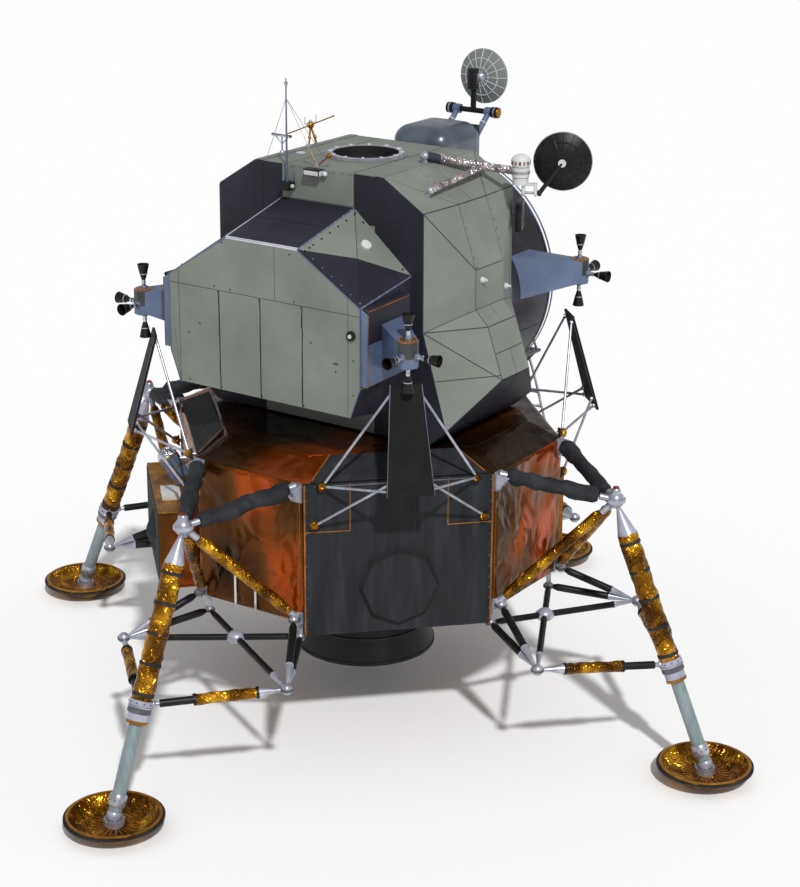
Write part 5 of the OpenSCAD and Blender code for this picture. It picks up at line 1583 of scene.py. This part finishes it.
@dataclass
class SteerableAntenna:
    """The antenna on the starboard boom, with its gimbal and dish."""

    hub: Point = (0.500, -1.575, 5.880)
    elbow: Point = (0.500, -1.140, 5.886)
    root: Point = (0.0, -0.735, 6.022)
    brace_root: Point = (-0.545, -1.165, 5.815)
    yaw: float = 26.0
    pin_out: float = 0.095
    pin_drop: float = 0.215
    arm: Point = (0, -0.320, 0.300)
    dish_r: float = 0.305
    dish_deep: float = 0.095

    def build(self) -> None:
        """Builds the boom, the gimbal head and the dish."""
        self.boom()
        self.head()
        self.dish()

    def banded(self, shape: Shape, a: Vector, b: Vector, r: float, bands: int) -> None:
        """Adds a crinkled bar with orange bands.

        Args:
            shape: The piece that gets it.
            a: Its first end.
            b: Its second end.
            r: Its radius.
            bands: How many bands it has.
        """
        span = (b - a).length
        shape.turned(a, b, fine([(0, 0), (0, r * .96), (span, r * .96), (span, 0)], 18), CRINKLE, 24, .003,
                     30)
        for i in range(bands):
            d = span * (i + .5) / bands
            shape.band(a, b, d - .005, d + .005, r + .001, ORANGE, 24)

    def boom(self) -> None:
        """Builds the banded boom and brace, with the ring that the gimbal turns in."""
        shape = Shape("antenna_boom")
        hub, elbow, root, brace = (Vector(p) for p in (self.hub, self.elbow, self.root, self.brace_root))
        self.banded(shape, root, elbow, .044, 9)
        self.banded(shape, brace, elbow, .034, 8)
        stop = along(elbow, hub, .82)
        self.banded(shape, elbow, stop, .044, 3)
        shape.ball(elbow, .058, CRINKLE, .004, 20)
        shape.ball(root, .051, SILVER, sides=18)
        shape.ball(brace, .040, SILVER, sides=18)
        shape.turned(root, elbow, [(.02, 0), (.02, .052), (.16, .046), (.16, 0)], SEAM, 24)
        shape.rod((root.x, root.y, 5.9503), root, .036, SILVER)
        normal = Vector((0, -.514, .858))
        shape.rod(brace - normal * .075, brace, .026, SILVER)
        hoop(shape, hub - Z * .05, hub + Z * .05, .0385, .090, WHITE, 36)
        hoop(shape, hub - Z * .012, hub + Z * .012, .088, .096, SILVER, 36)
        shape.done(stands_for=("steerable_boom",))
        box = Shape("antenna_box")
        tilt = turn(self.yaw)
        at = Vector((.80, -1.40, 5.35))
        box.slab(at, (.30, .07, .30), TUBE, tilt, .012)
        for size in (.20, .12):
            for dx, dz, sx, sz in ((0, size, size * 2, .006), (0, -size, size * 2, .006),
                                   (size, 0, .006, size * 2), (-size, 0, .006, size * 2)):
                box.slab(at + tilt @ Vector((dx / 2, -.037, dz / 2)), (sx / 2, .005, sz / 2), FRAME_METAL,
                         tilt, .001)
        box.rod((.80, -1.38, 5.35), (.78, -1.27, 5.35), .02, SILVER)
        box.done()

    def head(self) -> None:
        """Builds the white gimbal housing, which turns with the yoke."""
        shape = Shape("gimbal_housing")
        hub = Vector(self.hub)
        turned = turn(self.yaw)
        shape.turned(hub + Z * .054, hub + Z * 2, [(0, 0), (0, .085), (.02, .098), (.075, .098), (.105, .08),
                                                   (.125, .04), (.125, 0)], WHITE, 36)
        for i in range(14):
            out = turn(i * 360 / 14) @ Vector((.098, 0, 0))
            shape.slab(hub + Z * .10 + out, (.006, .018, .034), ORANGE if i % 2 else TUBE,
                       turn(i * 360 / 14), .001)
        for s in (-1, 1):
            at = hub + turned @ Vector((0, -self.pin_out + s * .062, -.17))
            shape.slab(at, (.08, .034, .12), WHITE, turned, .014)
        pin = hub + turned @ Vector((0, -self.pin_out + .080, -self.pin_drop))
        out = turned @ Vector((0, 1, 0))
        shape.turned(pin - out * .01, pin + out, [(0, 0), (0, .034), (.012, .034), (.018, 0)], SILVER, 24)
        shape.ball(hub + turned @ Vector((.085, 0, .03)), .012, BLUE_GREY)
        shape.done("steerable_yoke")

    def dish(self) -> None:
        """Builds the dish with its arm, which tilts on the yoke's pin."""
        place = Matrix.Translation(self.hub) @ turn(self.yaw) @ Matrix.Translation((0, -self.pin_out,
                                                                                    -self.pin_drop))
        shape = Shape("antenna_dish", place)
        end = Vector((.084, *self.arm[1:]))
        shape.rod((0, -.122, 0), (0, .086, 0), .014, SILVER, sides=18)
        shape.turned((0, -.122, 0), (0, 1, 0), [(0, 0), (0, .026), (.006, .030), (.034, .030), (.040, .026),
                                                (.040, 0)], TUBE, 24)
        shape.rod((0, -.102, 0), end + Vector((.006, 0, 0)), .024, TUBE, .020, 18)
        shape.band(end - Vector((.014, 0, 0)), end + X, 0, .04, .024, WHITE, 24)
        hoop(shape, end - Vector((.018, 0, 0)), end - Vector((.004, 0, 0)), .026, .040, WHITE, 28)
        DishAntenna(end, self.dish_r, self.dish_deep, BELL, TUBE, .186).shell(shape)
        shape.done("steerable_dish", ("steerable_dish",))


@dataclass
class SmallAntennas:
    """Whip, tee and folding aerials, with their stays and boxes."""

    whip: Point = (-0.905, 0.345, 5.780)
    whip_top: float = 6.830
    tee: Point = (-0.450, 0.750, 5.950)
    tripod_top: Point = (0.330, 0.960, 6.110)

    def build(self) -> None:
        """Builds the small aerials' fine pieces."""
        shape = Shape("whip_details")
        x, y, z = self.whip
        shape.rod((x, y, z - .004), (x, y, self.whip_top - .03), .012, BLUE_GREY, .007, 10)
        shape.turned((x, y, self.whip_top - .09), (x, y, 9), [(0, 0), (0, .010), (.05, .022), (.054, 0)],
                     SILVER, 12)
        for s in (-1, 1):
            shape.turned((x, y + s * .06, z - .04), (x, y + s, z - .04),
                         [(0, 0), (0, .022), (.02, .02), (.03, 0)], WHITE, 16)
            shape.plate([(x + .02, y + s * .05, z), (x + .06, y + s * .05, z + .12),
                         (x + .06, y + s * .05, z)], Vector((0, s, 0)), .005, BLUE_GREY)
            shape.rod((x, y, self.whip_top - .20), (-.82, y + s * .33, 5.955), .003, SILVER, sides=6)
        shape.rod((x, y, self.whip_top - .20), (-.30, y, 5.955), .003, SILVER, sides=6)
        shape.done()
        tee = Shape("tee_details")
        x, y, z = self.tee
        tee.turned((x, y, z), (x, y, z + 1), [(0, 0), (0, .03), (.02, .028), (.04, .012), (.04, 0)], SILVER,
                   16)
        tee.rod((x, y - .11, z + .190), (x, y + .12, z + .190), .012, TUBE)
        for s in (-1, 1):
            tee.rod((x, y, z + .10), (x, y + s * .085, z + .182), .006, SILVER)
            tee.ball((x, y + .005 + s * .115, z + .190), .016, TUBE)
        tee.done()
        fork = Shape("tripod_details")
        top = Vector(self.tripod_top)
        fork.ball(top, .040, GOLD_TRIM, sides=18)
        fork.ball(top + Vector((0, 0, .035)), .022, SILVER)
        for s in (-1, 1):
            fork.rod(top, top + Vector((s * .10, 0, .03)), .008, WHITE)
            fork.rod(top + Vector((s * .10, 0, .03)), top + Vector((s * .10, .0, .10)), .006, WHITE)
        for x, y in ((.25, .93), (.43, .93), (.34, .84)):
            fork.ball(along(Vector((x, y, 5.86)), top, .5), .018, GOLD_TRIM)
        fork.done()
        lamp = Shape("lamp_box_details")
        low, high = Vector((-.935, -.075, 5.880)), Vector((-.8403, .115, 5.942))
        mid = (low + high) / 2
        lamp.slab(mid + Z * .033, (.10, .20, .010), TUBE, round_by=.003)
        lamp.slab((low.x - .003, mid.y, mid.z), (.008, .17, .045), WHITE, round_by=.003)
        for s in (-1, 1):
            lamp.slab((mid.x, mid.y + s * .098, mid.z), (.085, .008, .05), LIGHT_EDGE, round_by=.002)
        lamp.ball((mid.x, low.y - .045, mid.z), .026, WHITE)
        lamp.rod((mid.x, low.y, mid.z), (mid.x, low.y - .03, mid.z), .010, SILVER)
        v_at = Vector((-.78, .06, 5.95))
        lamp.rod(v_at, v_at + Vector((0, .11, .20)), .008, GOLD_TRIM)
        lamp.rod(v_at, v_at + Vector((0, -.16, .13)), .008, RED)
        lamp.ball(v_at + Vector((0, -.16, .13)), .026, GOLD_TRIM)
        lamp.ball(v_at + Vector((0, .11, .20)), .020, SILVER)
        lamp.turned(v_at, v_at + Z, [(0, 0), (0, .03), (.02, .028), (.03, 0)], SILVER, 18)
        lamp.done()


# ---------- studio ----------

@dataclass
class Studio:
    """The pale floor, the soft light and the camera."""

    eye: Point = (-17.410, -12.214, 10.154)
    ahead: Point = (0.783, 0.529, -0.3278)
    roll: float = 0.392
    lens: float = 83.83
    sensor: float = 36.0
    sun_azimuth: float = -133.0
    sun_height: float = 45.5
    sun_power: float = 2.7
    sky: float = 0.5
    floor_r: float = 400.0

    def build(self) -> None:
        """Sets up everything that isn't the object."""
        self.floor()
        self.lights()
        self.camera()

    def floor(self) -> None:
        """Lays the plain pale floor."""
        bm = bmesh.new()
        bmesh.ops.create_circle(bm, cap_ends=True, segments=64, radius=self.floor_r)
        mesh = bpy.data.meshes.new("floor")
        bm.to_mesh(mesh)
        bm.free()
        floor = bpy.data.objects.new("floor", mesh)
        mat = bpy.data.materials.new("floor_white")
        mat.use_nodes = True
        shader = mat.node_tree.nodes["Principled BSDF"]
        shader.inputs["Base Color"].default_value = rgb("f4f4f4")
        shader.inputs["Roughness"].default_value = 0.9
        shader.inputs["Specular IOR Level"].default_value = 0.1
        mesh.materials.append(mat)
        bpy.context.scene.collection.objects.link(floor)

    def lights(self) -> None:
        """Adds the soft sun and the studio's even surroundings."""
        sun = bpy.data.lights.new("sun", "SUN")
        sun.energy = self.sun_power
        sun.angle = math.radians(3.0)
        lamp = bpy.data.objects.new("sun", sun)
        a, e = math.radians(self.sun_azimuth), math.radians(self.sun_height)
        toward = Vector((math.cos(a) * math.cos(e), math.sin(a) * math.cos(e), math.sin(e)))
        lamp.rotation_euler = toward.to_track_quat("Z", "Y").to_euler()
        bpy.context.scene.collection.objects.link(lamp)
        world = bpy.data.worlds.new("studio")
        world.use_nodes = True
        world.node_tree.nodes["Background"].inputs["Color"].default_value = (1, 1, 1, 1)
        world.node_tree.nodes["Background"].inputs["Strength"].default_value = self.sky
        bpy.context.scene.world = world
        bpy.context.scene.view_settings.view_transform = "Standard"

    def camera(self) -> None:
        """Puts the camera at the viewing angle."""
        data = bpy.data.cameras.new("camera")
        data.lens = self.lens
        data.sensor_width = self.sensor
        data.clip_end = 1000
        camera = bpy.data.objects.new("camera", data)
        camera.location = self.eye
        look = Vector(self.ahead).to_track_quat("-Z", "Y").to_matrix().to_4x4()
        camera.matrix_world = Matrix.Translation(self.eye) @ look @ Matrix.Rotation(math.radians(self.roll),
                                                                                    4, "Z")
        bpy.context.scene.collection.objects.link(camera)
        bpy.context.scene.camera = camera


# The overhead hatch gets the near-black tunnel finish: painted shadow at the bottom of the docking tunnel.
OWN_FINISH = {"midsection": LIGHT, "cabin_drum": PURPLE, "deflector_plates": PLATE, "docking_ring": SILVER,
              "radar_shaft": TUBE, "whip_antenna": TUBE, "interstage_posts": SILVER, "front_hatch": BRONZE,
              "overhead_hatch": TUNNEL_SHADOW, "tool_pallet": BRONZE, "descent_body": AMBER, "stage_cover": BROWN}


def dress_nodes() -> None:
    """Gives every CAD node the finish of its material slot, or its own."""
    slots = {part["node"]: part["material_slot"] for part in RECORD["subparts"]}
    for name, node in frame["nodes"].items():
        finish = OWN_FINISH.get(name, SLOT_FINISH[slots[name]])
        if not node.material_slots:
            node.data.materials.append(finish.material())
        for slot in node.material_slots:
            slot.material = finish.material()


def main() -> None:
    """Builds every piece round the frame."""
    logging.basicConfig(level=logging.INFO, format="%(message)s")
    Studio().build()
    dress_nodes()
    DescentStage().build()
    for name, angle in zip(("front", "port", "aft", "starboard"), LEGS):
        LandingLeg(name, angle).build()
    Deflectors().build()
    TankBays().build()
    AftBay().build()
    Deck().build()
    Cabin().build()
    for name, sx, sy, z in (("front_port_thrusters", 1, 1, 4.620),
                            ("front_starboard_thrusters", 1, -1, 4.620),
                            ("aft_port_thrusters", -1, 1, 4.490), ("aft_starboard_thrusters", -1, -1, 4.490)):
        ThrusterCluster(name, sx, sy, z).build()
    Radar().build()
    SteerableAntenna().build()
    SmallAntennas().build()
    bpy.context.view_layer.update()


if __name__ == "__main__":
    main()
